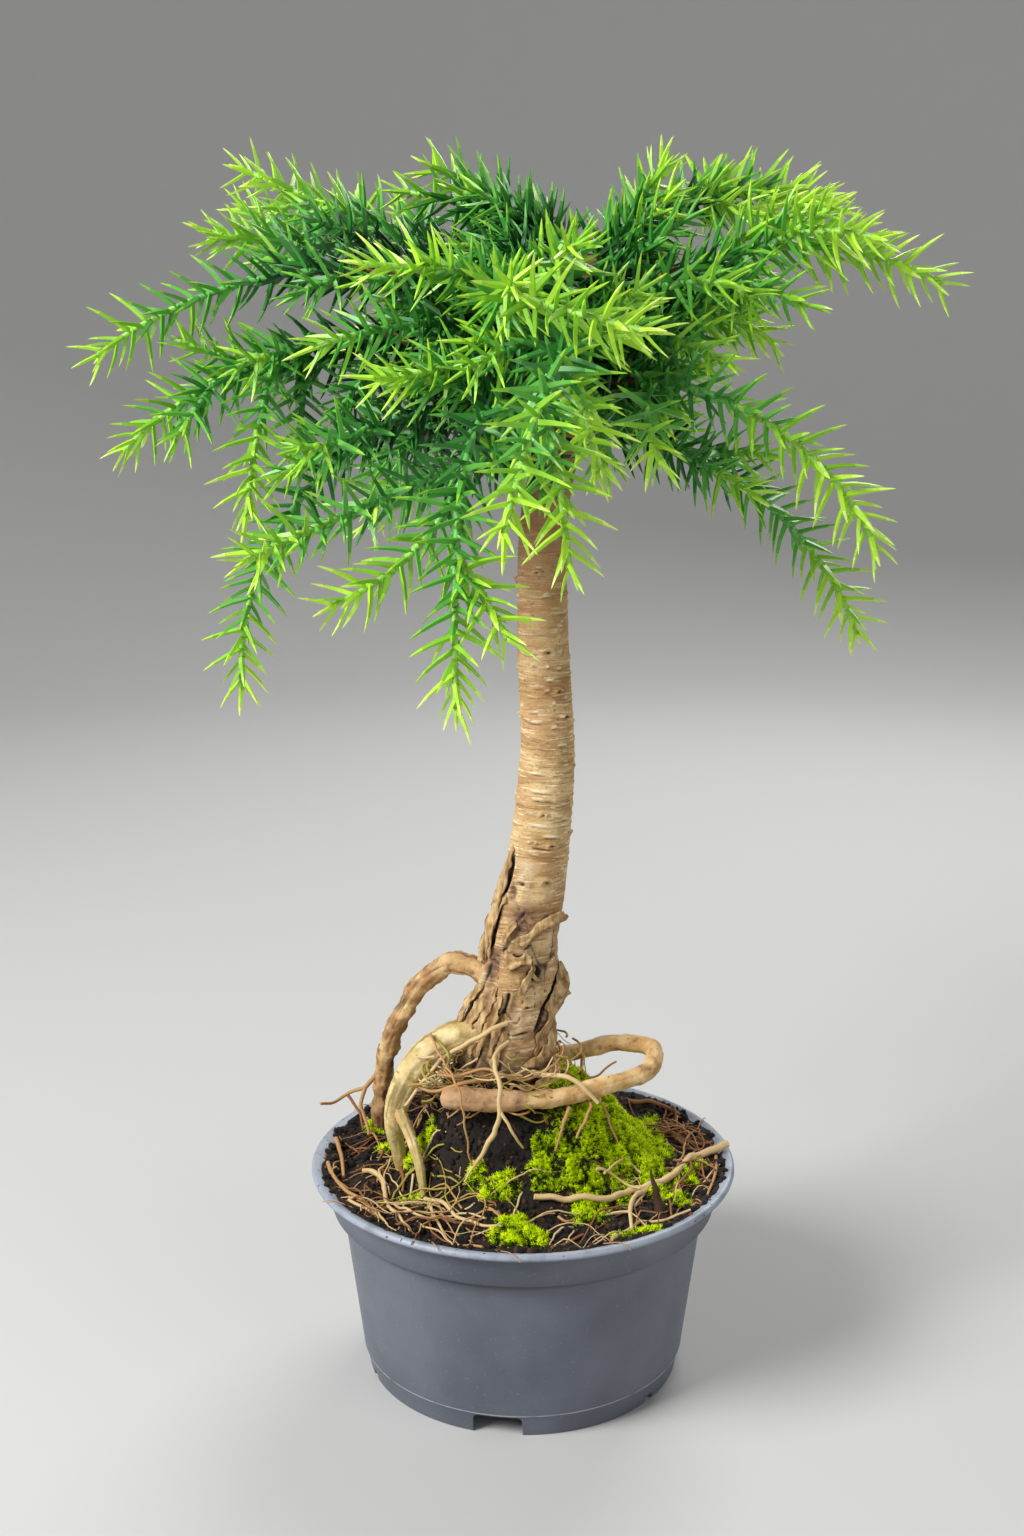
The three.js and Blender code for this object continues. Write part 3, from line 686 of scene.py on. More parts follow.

# %% Sprigs of moss
# The bright sprigs keep to the cushions' tops as partly painted light, and the deep ones to the gaps as
# partly painted shade.
MOSS_TINTS = {  # colour, sprigs for each square metre, how far it keeps to the cushions' tops, and sizes
    "bright": ("#daf20c", 1100000, 1.2, (0.6, 1.0)), "fresh": ("#9cc007", 900000, 0.2, (0.55, 0.9)),
    "deep": ("#2c4004", 1000000, -0.9, (0.5, 0.8)),
}
WHORLS = [(6, 0.2, 1.5, 0.8), (4, 0.9, 0.9, 1.5)]  # leaves of a sprig: how many, start, reach and rise
SPRIG = {"shapes": 6, "width": 0.3, "sunk": 0.4, "stray": 0.4, "sizes": (0.8, 1.2), "tilt": 0.6}
MOSS_COVER = {"edge": 0.15, "inward": 1.8, "mean": 0.45, "least": 0.04}
MOSS_SEED = 11
NOT_ALONG = (0.3, 0.2, 1)  # a direction that no leaf has
SPIKE_FLAT = 0.8  # depth of a leaf's root, as a share of its width


def spike(root, tip, width):
    """A thin closed spike of four faces, from a three-cornered root to a point."""
    root, tip = np.array(root, float), np.array(tip, float)
    along = (tip - root) / np.linalg.norm(tip - root)
    across = np.cross(along, NOT_ALONG)
    across = across / np.linalg.norm(across) * width
    other = np.cross(along, across)
    back, flank = across / 2, other * SPIKE_FLAT
    corners = [root + across, root - back + flank, root - back - flank, tip]
    return np.array(corners), [[2, 1, 0], [0, 1, 3], [1, 2, 3], [2, 0, 3]]


def sprig(seed):
    """A leafy moss stem: two whorls of spikes, the upper one steeper."""
    draw = random.Random(seed)
    leaves = []
    for count, start, reach, rise in WHORLS:
        first = draw.uniform(0, FULL_TURN)
        for i in range(count):
            turn = first + FULL_TURN * i / count + draw.uniform(-SPRIG["stray"], SPRIG["stray"])
            size = draw.uniform(*SPRIG["sizes"])
            tip = (math.cos(turn) * reach * size, math.sin(turn) * reach * size, start + rise * size)
            leaves.append(spike((0, 0, start - SPRIG["sunk"]), tip, SPRIG["width"]))
    return joined(leaves)


sprig_shapes = shape_collection("sprig", [sprig(seed) for seed in range(SPRIG["shapes"])])
moss_beds = [(rings.reshape(-1, 3), ring_faces(MOSS_ROWS, MOSS_SIDES)) for rings in cushions.values()]
tops = tufted(np.vstack([spots for spots, _ in moss_beds]) * (1, 1, 0))
from_edge = MOSS_COVER["inward"] * (1 - np.linspace(1, 0, MOSS_ROWS) ** 4)
inward = np.tile(np.repeat(np.clip(from_edge, MOSS_COVER["edge"], 1), MOSS_SIDES), len(MOSS))
for number, (tint, (colour, amount, lean, (least, most))) in enumerate(MOSS_TINTS.items()):
    bed = new_object("bed", *joined(moss_beds))
    store(bed, "fullness", inward * np.clip(MOSS_COVER["mean"] + lean * tops, MOSS_COVER["least"], 1))
    sprigs = grown(f"moss_sprigs_{tint}", bed, scatter, {
        "Density": amount, "Seed": number + MOSS_SEED, "Smallest": least, "Largest": most,
        "Least Turn": (-SPRIG["tilt"], -SPRIG["tilt"], 0),
        "Most Turn": (SPRIG["tilt"], SPRIG["tilt"], FULL_TURN), "Shapes": sprig_shapes,
        "Material": plain(f"moss_leaf_{tint}", colour, 0.7, **{"Specular IOR Level": 0.1}),
    })
    keep(sprigs, "moss", "moss_mat", "moss_front")

# %% [markdown]
# ## Trunk
# Hoop pine bark is thin and tan. It is ringed round the stem like hoops, with short raised pores and old twig
# scars, and at the foot it cracks and peels in plates. Rings of points follow the trunk's curve closely
# enough to carry all of that as real relief, so the outline shows it too: lumps, hoops, pores, scars,
# plates in steps, long cracks, and the swelling where roots leave.

# %% Trunk path
TRUNK = [  # lean in X, height and radius, from just under the soil to the sawn top
    (-8, 106, 18), (-7, 116, 17.2), (-5, 140, 15.2), (-1, 172, 13.6), (5, 205, 12), (9, 249, 10.4),
    (7.3, 300, 9.5), (8, 345, 8.8), (15, 378, 7.6), (24, 435, 4.6),
]
TRUNK_STEP, TRUNK_SIDES = 0.62, 148
ANY_SIDE = (0.31, 0.95, 0.05)  # a direction that no path here starts in


def smooth_path(points, step):
    """A centripetal Catmull-Rom curve through points, in steps of about that length."""
    points = np.array(points, float)
    knots = np.vstack([2 * points[0] - points[1], points, 2 * points[-1] - points[-2]])
    stretches = []
    for p0, p1, p2, p3 in zip(knots, knots[1:], knots[2:], knots[3:]):
        d0, d1, d2 = (np.linalg.norm(b - a) ** 0.5 for a, b in ((p0, p1), (p1, p2), (p2, p3)))
        leave = ((p1 - p0) / d0 - (p2 - p0) / (d0 + d1) + (p2 - p1) / d1) * d1
        arrive = ((p2 - p1) / d1 - (p3 - p1) / (d1 + d2) + (p3 - p2) / d2) * d1
        count = max(2, round(np.linalg.norm(p2 - p1) / step))
        t = np.linspace(0, 1, count, endpoint=False)[:, None]
        curve = (2 * t**3 - 3 * t**2 + 1) * p1 + (3 * t**2 - 2 * t**3) * p2
        stretches.append(curve + (t**3 - 2 * t**2 + t) * leave + (t**3 - t**2) * arrive)
    return np.vstack([*stretches, points[-1:]])


def rings_along(path, radii, sides, first=ANY_SIDE):
    """Rings round a path that twist as little as they can.

    radii has a row for each point of the path, and first is where each ring's first point lies, roughly.
    """
    tangents = np.gradient(path, axis=0)
    tangents /= np.linalg.norm(tangents, axis=1)[:, None]
    across, last = [], np.array(first, float)
    for tangent in tangents:
        last = last - tangent * (last @ tangent)
        last /= np.linalg.norm(last)
        across.append(last)
    across = np.array(across)
    up = np.cross(tangents, across)
    turn = np.linspace(0, FULL_TURN, sides, endpoint=False)[:, None]
    out = np.cos(turn) * across[:, None] + np.sin(turn) * up[:, None]
    return path[:, None] + np.reshape(radii, (len(path), -1, 1)) * out


def raised(path, rings, heights):
    """Rings whose points are moved outward from their path."""
    out = rings - path[:, None]
    return rings + out / np.linalg.norm(out, axis=-1)[..., None] * heights[..., None]


trunk_path = smooth_path([(x, 0, z) for x, z, _ in TRUNK], TRUNK_STEP)
trunk_heights = trunk_path[:, 2]
trunk_radii = np.interp(trunk_heights, [z for _, z, _ in TRUNK], [radius for _, _, radius in TRUNK])
plain_trunk = rings_along(trunk_path, trunk_radii, TRUNK_SIDES, first=(1, 0, 0))
print("trunk of", len(trunk_path), "rings")

# %% Bark marks
RINGED_FROM, RINGED_AT = 190, 214  # the bark changes from peeling to hooped between these heights
SWELLINGS = [  # azimuth, height, width in degrees, half height, how far out
    (190, 128, 34, 22, 4.5), (235, 118, 26, 14, 2.5), (300, 116, 30, 12, 2), (345, 120, 28, 14, 3),
    (60, 120, 34, 16, 3.5), (120, 120, 32, 16, 3.5), (352, 162, 20, 9, 4.4), (205, 146, 16, 12, 3.0),
    (200, 186, 14, 12, 1.2), (270, 200, 30, 8, 0.8),
]
CRACKS = [  # azimuths and heights of a crack's two ends, half width in mm, depth
    (350, 172, 306, 142, 0.9, 2.8), (218, 214, 206, 170, 1.2, 2.6), (220, 170, 206, 148, 0.9, 2.4),
    (232, 152, 224, 124, 0.7, 1.6), (246, 156, 236, 130, 0.6, 1.4), (40, 190, 58, 132, 0.9, 2.2),
    (105, 205, 92, 140, 1.0, 2.4), (150, 180, 160, 124, 0.8, 2.0), (20, 156, 10, 120, 0.8, 1.8),
    # The crack under the flap, from 284 to 246 degrees, is also the flap's painted shadow.
    (262, 192, 240, 182, 0.5, 1.2), (322, 189, 250, 178, 0.8, 2.0), (284, 174, 246, 171, 1.0, 2.6),
    (304, 170, 288, 166, 2.2, 3.2), (300, 144, 268, 143, 0.5, 1.2), (330, 132, 288, 130, 0.6, 1.6),
    (292, 217, 250, 217, 0.4, 1.4), (260, 160, 252, 150, 0.7, 1.8), (240, 180, 236, 174, 1.0, 2.2),
]
SCARS = [  # azimuth, height and radius of an old twig scar
    (246, 202, 2.8), (290, 204, 2.2), (320, 267, 2.5), (292, 218, 1.8), (254, 219, 1.3), (280, 292, 2.4),
    (318, 292, 1.5), (269, 230, 1.3), (276, 178, 1.2), (195, 268, 1.6), (30, 240, 2.2), (95, 285, 2.0),
    (150, 232, 2.1), (60, 330, 1.8), (170, 318, 1.7), (256, 322, 1.4), (300, 336, 1.5), (120, 255, 1.5),
    (301, 277, 1.5), (223, 282, 1.0), (325, 281, 1.1), (264, 143, 2.0), (348, 158, 1.4), (291, 154, 1.8),
    (315, 298, 1.0), (345, 222, 1.6),
]
STAINS = [  # azimuth, height, width in degrees, half height of a dark patch where the outer bark came off
    # The patch at 298 degrees and 168 mm is a painted shade in the deep hollow.
    (260, 188, 26, 7), (230, 198, 10, 4), (298, 168, 14, 5), (318, 148, 10, 8), (225, 168, 12, 8),
    (262, 172, 18, 4), (40, 176, 20, 12), (120, 160, 22, 14), (170, 196, 16, 10), (90, 138, 20, 10),
]
PALE_PATCHES = [  # the same, for a pale patch of young bark
    (302, 156, 18, 9), (270, 143, 22, 7), (316, 180, 16, 8), (290, 170, 10, 5), (250, 208, 30, 6),
    (20, 200, 24, 10), (140, 186, 20, 10), (75, 156, 18, 12),
]
PORES = {
    "count": 260, "from": 204, "to": 420, "length": (1.2, 6.0), "height": 0.45, "raise": (0.25, 0.6),
    "paleness": (0.3, 0.9), "placed": (0.6, 1.0), "shade": 0.35, "shade_below": 1.0,
}
PLACED_PORES = [  # azimuth, height and length of the raised pores that the photograph shows best
    (248, 288, 3), (278, 287, 1.5), (304, 286, 2.2), (281, 282, 3), (273, 278, 2.4), (288, 273, 2),
    (285, 264, 2.4), (262, 258, 3.4), (303, 257, 4), (245, 266, 6), (260, 239, 10), (276, 236, 8),
    (255, 236, 6), (315, 229, 2.5), (240, 270, 5), (262, 226, 9), (290, 222, 8), (250, 246, 7),
]
print(len(CRACKS), "cracks,", len(SCARS), "scars and", len(PLACED_PORES), "pores placed by eye")

# %% Bark relief
LUMPS = [(0.7, 16, 34)]  # a layer of noise: its height, and the width and rise of its lumps
HOOPS = [(0.16, 14, 1.2), (0.08, 26, 3.6)]
FLAKES = [(0.3, 5, 2), (0.2, 2, 5)]
WANDER = [(1.6, 11, 11)]  # how a crack strays from its line
LOW_HOOPS, MORE_HOOPS = 0.55, 0.45  # how strong the hoops are at the foot, and how much stronger above
PLATES = {"size": (9, 9, 6), "steps": 2.6, "height": 0.7}
FURROWS = {"size": (8, 8, 22), "width": 0.035, "depth": 0.5}
CRACK = {"fade": 8, "least": 0.15, "lip": 0.6, "lip_away": 2.2}
GROOVE_DEPTH = 1.1
azimuths = np.linspace(0, 360, TRUNK_SIDES, endpoint=False)
rows = trunk_heights[:, None]
spots = plain_trunk.reshape(-1, 3)


def turn_from(azimuth):
    """Signed degrees from an azimuth to each side of the trunk."""
    return (azimuths - azimuth + 180) % 360 - 180


def over_trunk(*size):
    """Noise at each point of the trunk, with lumps of that size along X, Y and Z."""
    return rough(spots, np.array(size, float)).reshape(len(trunk_path), TRUNK_SIDES)


def relief(layers, base=0):
    """Noise laid on a base, layer by layer."""
    return sum((height * over_trunk(width, width, rise) for height, width, rise in layers), base)


ringed = np.clip((rows - RINGED_FROM) / (RINGED_AT - RINGED_FROM), 0, 1)
bark = relief(LUMPS) + relief(HOOPS) * (LOW_HOOPS + MORE_HOOPS * ringed)
plates = np.round(over_trunk(*PLATES["size"]) * PLATES["steps"]) / PLATES["steps"]
bark += (1 - ringed) * relief(FLAKES, PLATES["height"] * plates)
furrows = np.clip(1 - np.abs(over_trunk(*FURROWS["size"])) / FURROWS["width"], 0, 1)
groove = (1 - ringed) * furrows * FURROWS["depth"]
for azimuth, level, width, half_height, out in SWELLINGS:
    bark += out * lobe(turn_from(azimuth), width) * lobe(rows - level, half_height)
wander = relief(WANDER)
crack_radius = trunk_radii[len(rows) // 5]  # cracks are laid out as if the foot had one radius
for azimuth, top, end_azimuth, bottom, half_width, depth in CRACKS:
    start, end = np.radians([azimuth, end_azimuth]) * crack_radius
    line = np.array([end - start, bottom - top])
    arcs = np.radians(azimuth + turn_from(azimuth)) * crack_radius
    along = np.clip(((arcs - start) * line[0] + (rows - top) * line[1]) / (line @ line), 0, 1)
    gap = np.hypot(arcs - start - along * line[0] + wander, rows - top - along * line[1] + wander)
    fade = np.clip(np.minimum(along, 1 - along) * CRACK["fade"], CRACK["least"], 1)
    groove = np.maximum(groove, lobe(gap, half_width) * fade * depth / 2)
    bark += CRACK["lip"] * lobe(gap - CRACK["lip_away"] * half_width, half_width) * fade
bark -= GROOVE_DEPTH * groove
print("cracked bark from", round(bark.min(), 1), "to", round(bark.max(), 1), "mm")

# %% Stains, scars and pores
STAIN_DEPTH = 0.5
PATCH_PALENESS = 0.42
SCAR = {  # heights of the brow, ring, dip and shade of a scar, and widths as shares of its radius
    "brow": 0.9, "brow_width": 0.35, "brow_from": 0.5, "ring": 0.4, "ring_width": 0.5, "dip": 0.6,
    "dip_width": 0.5, "shade": 0.7, "shade_width": 0.4, "shade_flat": 1.2, "flat": 1.5, "paleness": 0.55,
}
draw = random.Random(7)
per_degree = trunk_radii[:, None] * math.radians(1)
stain, pale = 0 * bark, 0 * bark
for azimuth, level, width, half_height in STAINS:
    stain = np.maximum(stain, lobe(turn_from(azimuth), width) * lobe(rows - level, half_height))
for azimuth, level, width, half_height in PALE_PATCHES:
    patch = PATCH_PALENESS * lobe(turn_from(azimuth), width) * lobe(rows - level, half_height)
    pale = np.maximum(pale, patch)
bark -= STAIN_DEPTH * stain
for azimuth, level, radius in SCARS:
    above = rows - level
    gap = np.hypot(turn_from(azimuth) * per_degree, above * SCAR["flat"])
    upper = np.clip(above / radius + SCAR["brow_from"], 0, 1)
    brow = lobe(gap - radius, radius * SCAR["brow_width"]) * upper
    ring = lobe(gap - radius, radius * SCAR["ring_width"])
    dip = lobe(gap, radius * SCAR["dip_width"])
    bark += SCAR["brow"] * brow + SCAR["ring"] * ring - SCAR["dip"] * dip
    pale = np.maximum(pale, SCAR["paleness"] * brow)
    shade = lobe(np.hypot(gap, SCAR["shade_flat"] * above), radius * SCAR["shade_width"])
    groove = np.maximum(groove, SCAR["shade"] * shade)
pores = [(*pore, *PORES["placed"]) for pore in PLACED_PORES]
for _ in range(PORES["count"]):
    azimuth, level = draw.uniform(0, 360), draw.uniform(PORES["from"], PORES["to"])
    length, out, paleness = (draw.uniform(*PORES[key]) for key in ("length", "raise", "paleness"))
    pores.append((azimuth, level, length, out, paleness))
for azimuth, level, length, out, paleness in pores:
    along = np.exp(-((turn_from(azimuth) * per_degree / length * 2) ** 4))
    bar = lobe(rows - level, PORES["height"])
    bark += out * along * bar
    pale = np.maximum(pale, paleness * along * bar)
    below = lobe(rows - level + PORES["shade_below"], PORES["height"])
    groove = np.maximum(groove, PORES["shade"] * paleness * along * below)
trunk_rings = raised(trunk_path, plain_trunk, bark)
print("bark relief from", round(bark.min(), 1), "to", round(bark.max(), 1), "mm")

# %% [markdown]
# The sawn top is closed by smaller rings inside the last one. Three attributes go with the mesh: how deep
# each point lies in a groove, together with the painted shade in scars, under pores and under the flap; where
# the bark is stained, with one patch of painted shade in the deep hollow; and where it is pale. The bark's
# colour reads them, so that cracks are dark with painted shade and scars are ringed exactly where the relief
# has them.

# %% Trunk piece
SAWN = ((0.96, 0.5), (0.7, 0.3), (0.35, 0.1), (0.04, 0.2))  # share of the last ring, and rise
end_ring, end_middle = trunk_rings[-1], trunk_path[-1]
cut_rings = [end_middle + (end_ring - end_middle) * share + (0, 0, rise) for share, rise in SAWN]
trunk = new_object("trunk_hooped_bark", *closed(np.concatenate([trunk_rings, cut_rings])))
sawn_points = np.zeros(len(SAWN) * TRUNK_SIDES)
for name, values in (("groove", groove), ("stain", stain), ("pale", pale)):
    store(trunk, name, np.concatenate([np.clip(values, 0, 1).ravel(), sawn_points]))

# Thin tan bark: hoops of lighter and darker tan, a darker, warmer brown under the crown that is partly
# painted shade, near-black painted shade at the foot and in the grooves, and dull.
# The fine lines are drawn about twice as coarse as on the real bark, so that they show.
hoop_bark = weathered("hoop_pine_bark", "#a67c4a", 0.8, [
    ("#d8b883", 1.0, ((16, 16, 5), 0.3, 0.66), None),
    ("#b07f4f", 0.6, ((22, 22, 22), 0.46, 0.68), None),
    ("#efdcb2", 0.75, ((9, 9, 0.9), 0.56, 0.64), None),
    ("#80592f", 0.6, ((12, 12, 0.8), 0.57, 0.64), None),
    ("#7a5634", 0.45, ((1.1, 1.1, 1.0), 0.56, 0.7), None),
    # Darker, warmer brown under the crown: partly the bark's own brown, partly painted shade of the crown.
    ("#8f653f", 0.75, None, ("height", 262, 340)),
    ("#96714b", 0.75, ((8, 8, 10), 0.48, 0.62), ("height", 214, 190)),
    ("#cbb692", 0.55, ((14, 14, 14), 0.54, 0.66), ("height", 205, 170)),
    ("#5f3f30", 0.9, ((4, 4, 1.5), 0.2, 0.55), ("stain", 0.25, 0.7)),
    ("#eedfbd", 0.85, ((4, 4, 2), 0.34, 0.6), ("pale", 0.2, 0.6)),
    ("#5d4126", 0.75, ((2.2, 2.2, 1.4), 0.66, 0.74), None),
    # Near-black at the foot, among the roots and the heaped soil: a painted shade.
    ("#21150b", 1.0, ((7, 7, 7), 0.25, 0.5), ("height", 137, 127)),
    ("#8a5a33", 1.0, None, ("height", 434.6, 435.2)),
    # Near-black in cracks, furrows and scars, and under the pores and the flap: a painted shade.
    ("#1d120a", 1.0, None, ("groove", 0.12, 0.5)),
], ((2.0, 2.0, 0.7), 0.4))
trunk.data.materials.append(hoop_bark)
keep(trunk, "trunk_bark", "trunk")

# %% [markdown]
# ## Peeling bark
# At the foot the bark lifts in curled ribbons. Each ribbon is a thin closed slab that follows a line on the
# trunk's own relief, ragged along its edges, and lifted off where the bark has come away. The large ones lie
# where the photograph shows them, and smaller ones follow a seeded rule round the back.

# %% Bark ribbons
RIBBONS = [  # width, curl of one edge, then azimuth, height and lift of each point
    (5.4, 0.6, [
        (212, 215, 0.2), (206, 206, 0.9), (202, 194, 1.2), (205, 185, 0.8), (200, 177, 1.4), (203, 168, 0.4),
    ]),
    (4.0, 0.8, [(218, 196, 0.1), (210, 188, 0.9), (208, 178, 1.4), (211, 170, 0.3)]),
    (3.6, 1.2, [
        (332, 192, 2.8), (312, 191, 2.2), (295, 188, 0.9), (285, 185, 0.5), (267, 181, 1.4), (252, 179, 2.2),
    ]),
    (2.4, 0.6, [(248, 187, 0.3), (242, 182, 1.4), (236, 178, 0.8)]),
    (4.4, -1.4, [(240, 175, 0.4), (252, 172, 1.0), (268, 173, 1.8), (284, 175.5, 2.0)]),
    (2.0, 0.3, [(283, 176, 1.6), (288, 169, 2.4), (281, 164, 1.8), (273, 158, 0.5)]),
    (1.3, 0.2, [(287, 169, 2.2), (295, 166.5, 2.0), (305, 165, 0.8)]),
    (4.5, 0.8, [(350, 171, 0.6), (338, 158, 1.6), (330, 147, 1.4), (308, 134, 0.4)]),
    (4.0, 0.8, [(356, 150, 0.4), (340, 141, 2.4), (312, 133, 1.8), (290, 131, 0.3)]),
    (5.0, 1.0, [(352, 133, 0.5), (330, 126, 2.6), (305, 122, 1.0)]),
    (3.0, 0.5, [(246, 158, 0.3), (240, 148, 1.6), (230, 137, 1.2), (226, 130, 0.3)]),
    (2.6, 0.5, [(236, 160, 0.2), (230, 150, 1.8), (222, 139, 1.4), (218, 131, 0.3)]),
    (3.0, 0.5, [(226, 158, 0.2), (218, 148, 2.0), (212, 138, 1.8)]),
    (2.4, 0.4, [(254, 150, 0.2), (248, 142, 1.2), (244, 133, 0.4)]),
    (3.4, 0.6, [(210, 160, 0.2), (204, 152, 2.2), (200, 142, 2.6)]),
    (2.2, 0.3, [(262, 146, 0.2), (256, 138, 1.0), (250, 128, 0.5)]),
]
RIBBON = {
    "step": 1.4, "columns": 5, "thickness": 0.6, "radius": 14.0, "ragged": 0.9, "rags": 3.5, "sunk": 0.2,
    "narrow_ends": 0.8, "thin_ends": 0.6, "least_roll": 0.2,
}


def slab(outer, inner):
    """A closed body between two grids of points, whose rows run along it and columns to its left."""
    rows, columns = outer.shape[:2]
    index = np.arange(rows * columns).reshape(rows, columns)
    quads = np.stack([index[:-1, :-1], index[1:, :-1], index[1:, 1:], index[:-1, 1:]], -1).reshape(-1, 4)
    border = [*index[:-1, 0], *index[-1, :-1], *index[:0:-1, -1], *index[0, :0:-1]]
    under = rows * columns
    walls = [[b, a, a + under, b + under] for a, b in zip(border, border[1:] + border[:1])]
    faces = quads.tolist() + (quads[:, ::-1] + under).tolist() + walls
    return np.vstack([outer.reshape(-1, 3), inner.reshape(-1, 3)]), faces


def ribbon(width, curl, points):
    """A strip of bark along points on the trunk, lifted off it by each point's third value."""
    bends = [(math.radians(azimuth) * RIBBON["radius"], level, lift) for azimuth, level, lift in points]
    line = smooth_path(bends, RIBBON["step"])
    way = np.gradient(line[:, :2], axis=0)
    way /= np.linalg.norm(way, axis=1)[:, None]
    share = np.linspace(-1, 1, len(line))
    ragged = 1 + RIBBON["ragged"] * rough(line * (1, 1, 0) + (0, 0, width), RIBBON["rags"])
    half = width / 2 * ragged * (1 - RIBBON["narrow_ends"] * share**6)
    column = np.linspace(-1, 1, RIBBON["columns"])
    left = np.stack([-way[:, 1], way[:, 0]], -1)[:, None]
    spot = line[:, None, :2] + half[:, None, None] * column[:, None] * left
    row = np.clip(np.searchsorted(trunk_heights, spot[..., 1]), 0, len(trunk_heights) - 1)
    side = np.round(spot[..., 0] / RIBBON["radius"] / FULL_TURN * TRUNK_SIDES).astype(int) % TRUNK_SIDES
    base = trunk_rings[row, side]
    out = base - trunk_path[row]
    out /= np.linalg.norm(out, axis=-1)[..., None]
    lifted = np.maximum(line[:, 2], 0)[:, None]
    rolled = abs(curl) * ((1 + math.copysign(1, curl) * column) / 2) ** 2
    away = lifted - RIBBON["sunk"] + rolled * np.clip(lifted, RIBBON["least_roll"], 1)
    thick = RIBBON["thickness"] * (1 - RIBBON["thin_ends"] * share**4)[:, None]
    return slab(base + out * (away + thick)[..., None], base + out * away[..., None])


ribbons = [ribbon(*values) for values in RIBBONS]
print(len(ribbons), "ribbons placed by eye")

# %% Ribbons round the back
MORE_RIBBONS = {
    "count": 20, "azimuths": (5, 190), "heights": (130, 206), "length": (12, 30), "width": (2.4, 5),
    "sweep": 30, "lift": (0.2, 2.4), "shares": (0, 0.35, 0.7, 1),
}
draw = random.Random(19)
for _ in range(MORE_RIBBONS["count"]):
    azimuth, level = draw.uniform(*MORE_RIBBONS["azimuths"]), draw.uniform(*MORE_RIBBONS["heights"])
    length, lean = draw.uniform(*MORE_RIBBONS["length"]), draw.uniform(-1, 1)
    points = []
    for share in MORE_RIBBONS["shares"]:
        lift = draw.uniform(*MORE_RIBBONS["lift"]) * share
        points.append((azimuth + MORE_RIBBONS["sweep"] * lean * share, level - length * share, lift))
    ribbons.append(ribbon(draw.uniform(*MORE_RIBBONS["width"]), draw.uniform(-1, 1), points))

# Dry outer bark: paper-thin, streaked along its length, darker where it is older.
papery_bark = weathered("peeling_bark", "#8d683f", 0.85, [
    ("#cfb17e", 1.0, ((2.2, 2.2, 8), 0.36, 0.66), None), ("#5f4228", 0.7, ((5, 5, 5), 0.56, 0.7), None),
], ((1.2, 1.2, 4), 0.3))
keep(new_object("trunk_peeling_bark", *joined(ribbons), papery_bark), "trunk_bark", "trunk")

# %% [markdown]
# ## Exposed roots
# Four large roots leave the trunk's foot. One arches over on the left, a thick smooth one curves down beside
# it with a toe of its own, and one loops out to the right and back across the front to a blunt end.
# Each follows the bends of its solids, starts inside the wood that bears it, and carries knobs and wrinkles
# as relief. All but the looped one end in the soil.

# %% Root shapes
ROOTS = {
    # bends, radius at shares of the length, height and size of the knobs, height of the long ridges, whether
    # the end is round, and the solids that it stands for
    "left_arch": {
        "bends": [
            (-8, -2, 160), (-27, 4, 166), (-40, 10, 156), (-52, 17, 134), (-57, 24, 113), (-60, 32, 72),
        ],
        "radii": [(0, 4.2), (1, 3.7)], "knobs": 1.4, "size": 6, "ridges": 0.5, "round": False,
        "nodes": ("root_left_arch_upper", "root_left_arch_lower"),
    },
    "right_loop": {
        "bends": [
            (-4, 3, 124), (19, 9, 126), (39, 10, 130), (52, 3, 130), (49, -10, 126), (34, -18, 124),
            (8, -26, 121), (-32, -30, 123),
        ],
        "radii": [(0, 3.4), (0.76, 3.5), (0.79, 3.1), (0.82, 4.2), (1, 4.5)],
        "knobs": 0.8, "size": 7, "ridges": 0.2, "round": True,
        "nodes": ("root_right_loop_back", "root_right_loop_front"),
    },
    "left_thick": {
        "bends": [
            (-10, -5, 140), (-23, -8, 141), (-38, -10, 133), (-47, -12, 120), (-51, -12, 106), (-49, -11, 90),
            (-46, -10, 72),
        ],
        "radii": [(0, 6.6), (0.35, 6.2), (0.55, 4.8), (0.65, 3.6), (0.8, 2.9), (1, 1.6)],
        "knobs": 0.6, "size": 11, "ridges": 0.5, "round": False,
        "nodes": ("root_left_thick",),
    },
    "left_toe": {
        "bends": [(-50, -13, 114), (-43, -22, 101), (-40, -28, 93), (-38, -35, 72)],
        "radii": [(0, 2.5), (1, 1.2)], "knobs": 0.4, "size": 6, "ridges": 0.4, "round": False,
        "nodes": ("root_left_toe",),
    },
}
ROOT_STEP, ROOT_SIDES = 0.8, 40
ROOT_END = 32  # length over which the colour of a root's end comes in
NEARLY_CLOSED = 0.995  # how far a round end closes before its cap
RIDGES = [(1.0, 0.55, 34), (0.6, 0.3, 14)]  # strength, width on a circle of radius 1, and length
BURLS = {"strength": 1.2, "size": 0.6, "from": 0.25}  # smaller knobs that stand out of the large ones
WRINKLES = [(0.3, 1.7), (0.14, 0.9)]  # height and size
GROOVES = {"ridges": 1.6, "knobs": 0.5}  # how dark the hollows between them are


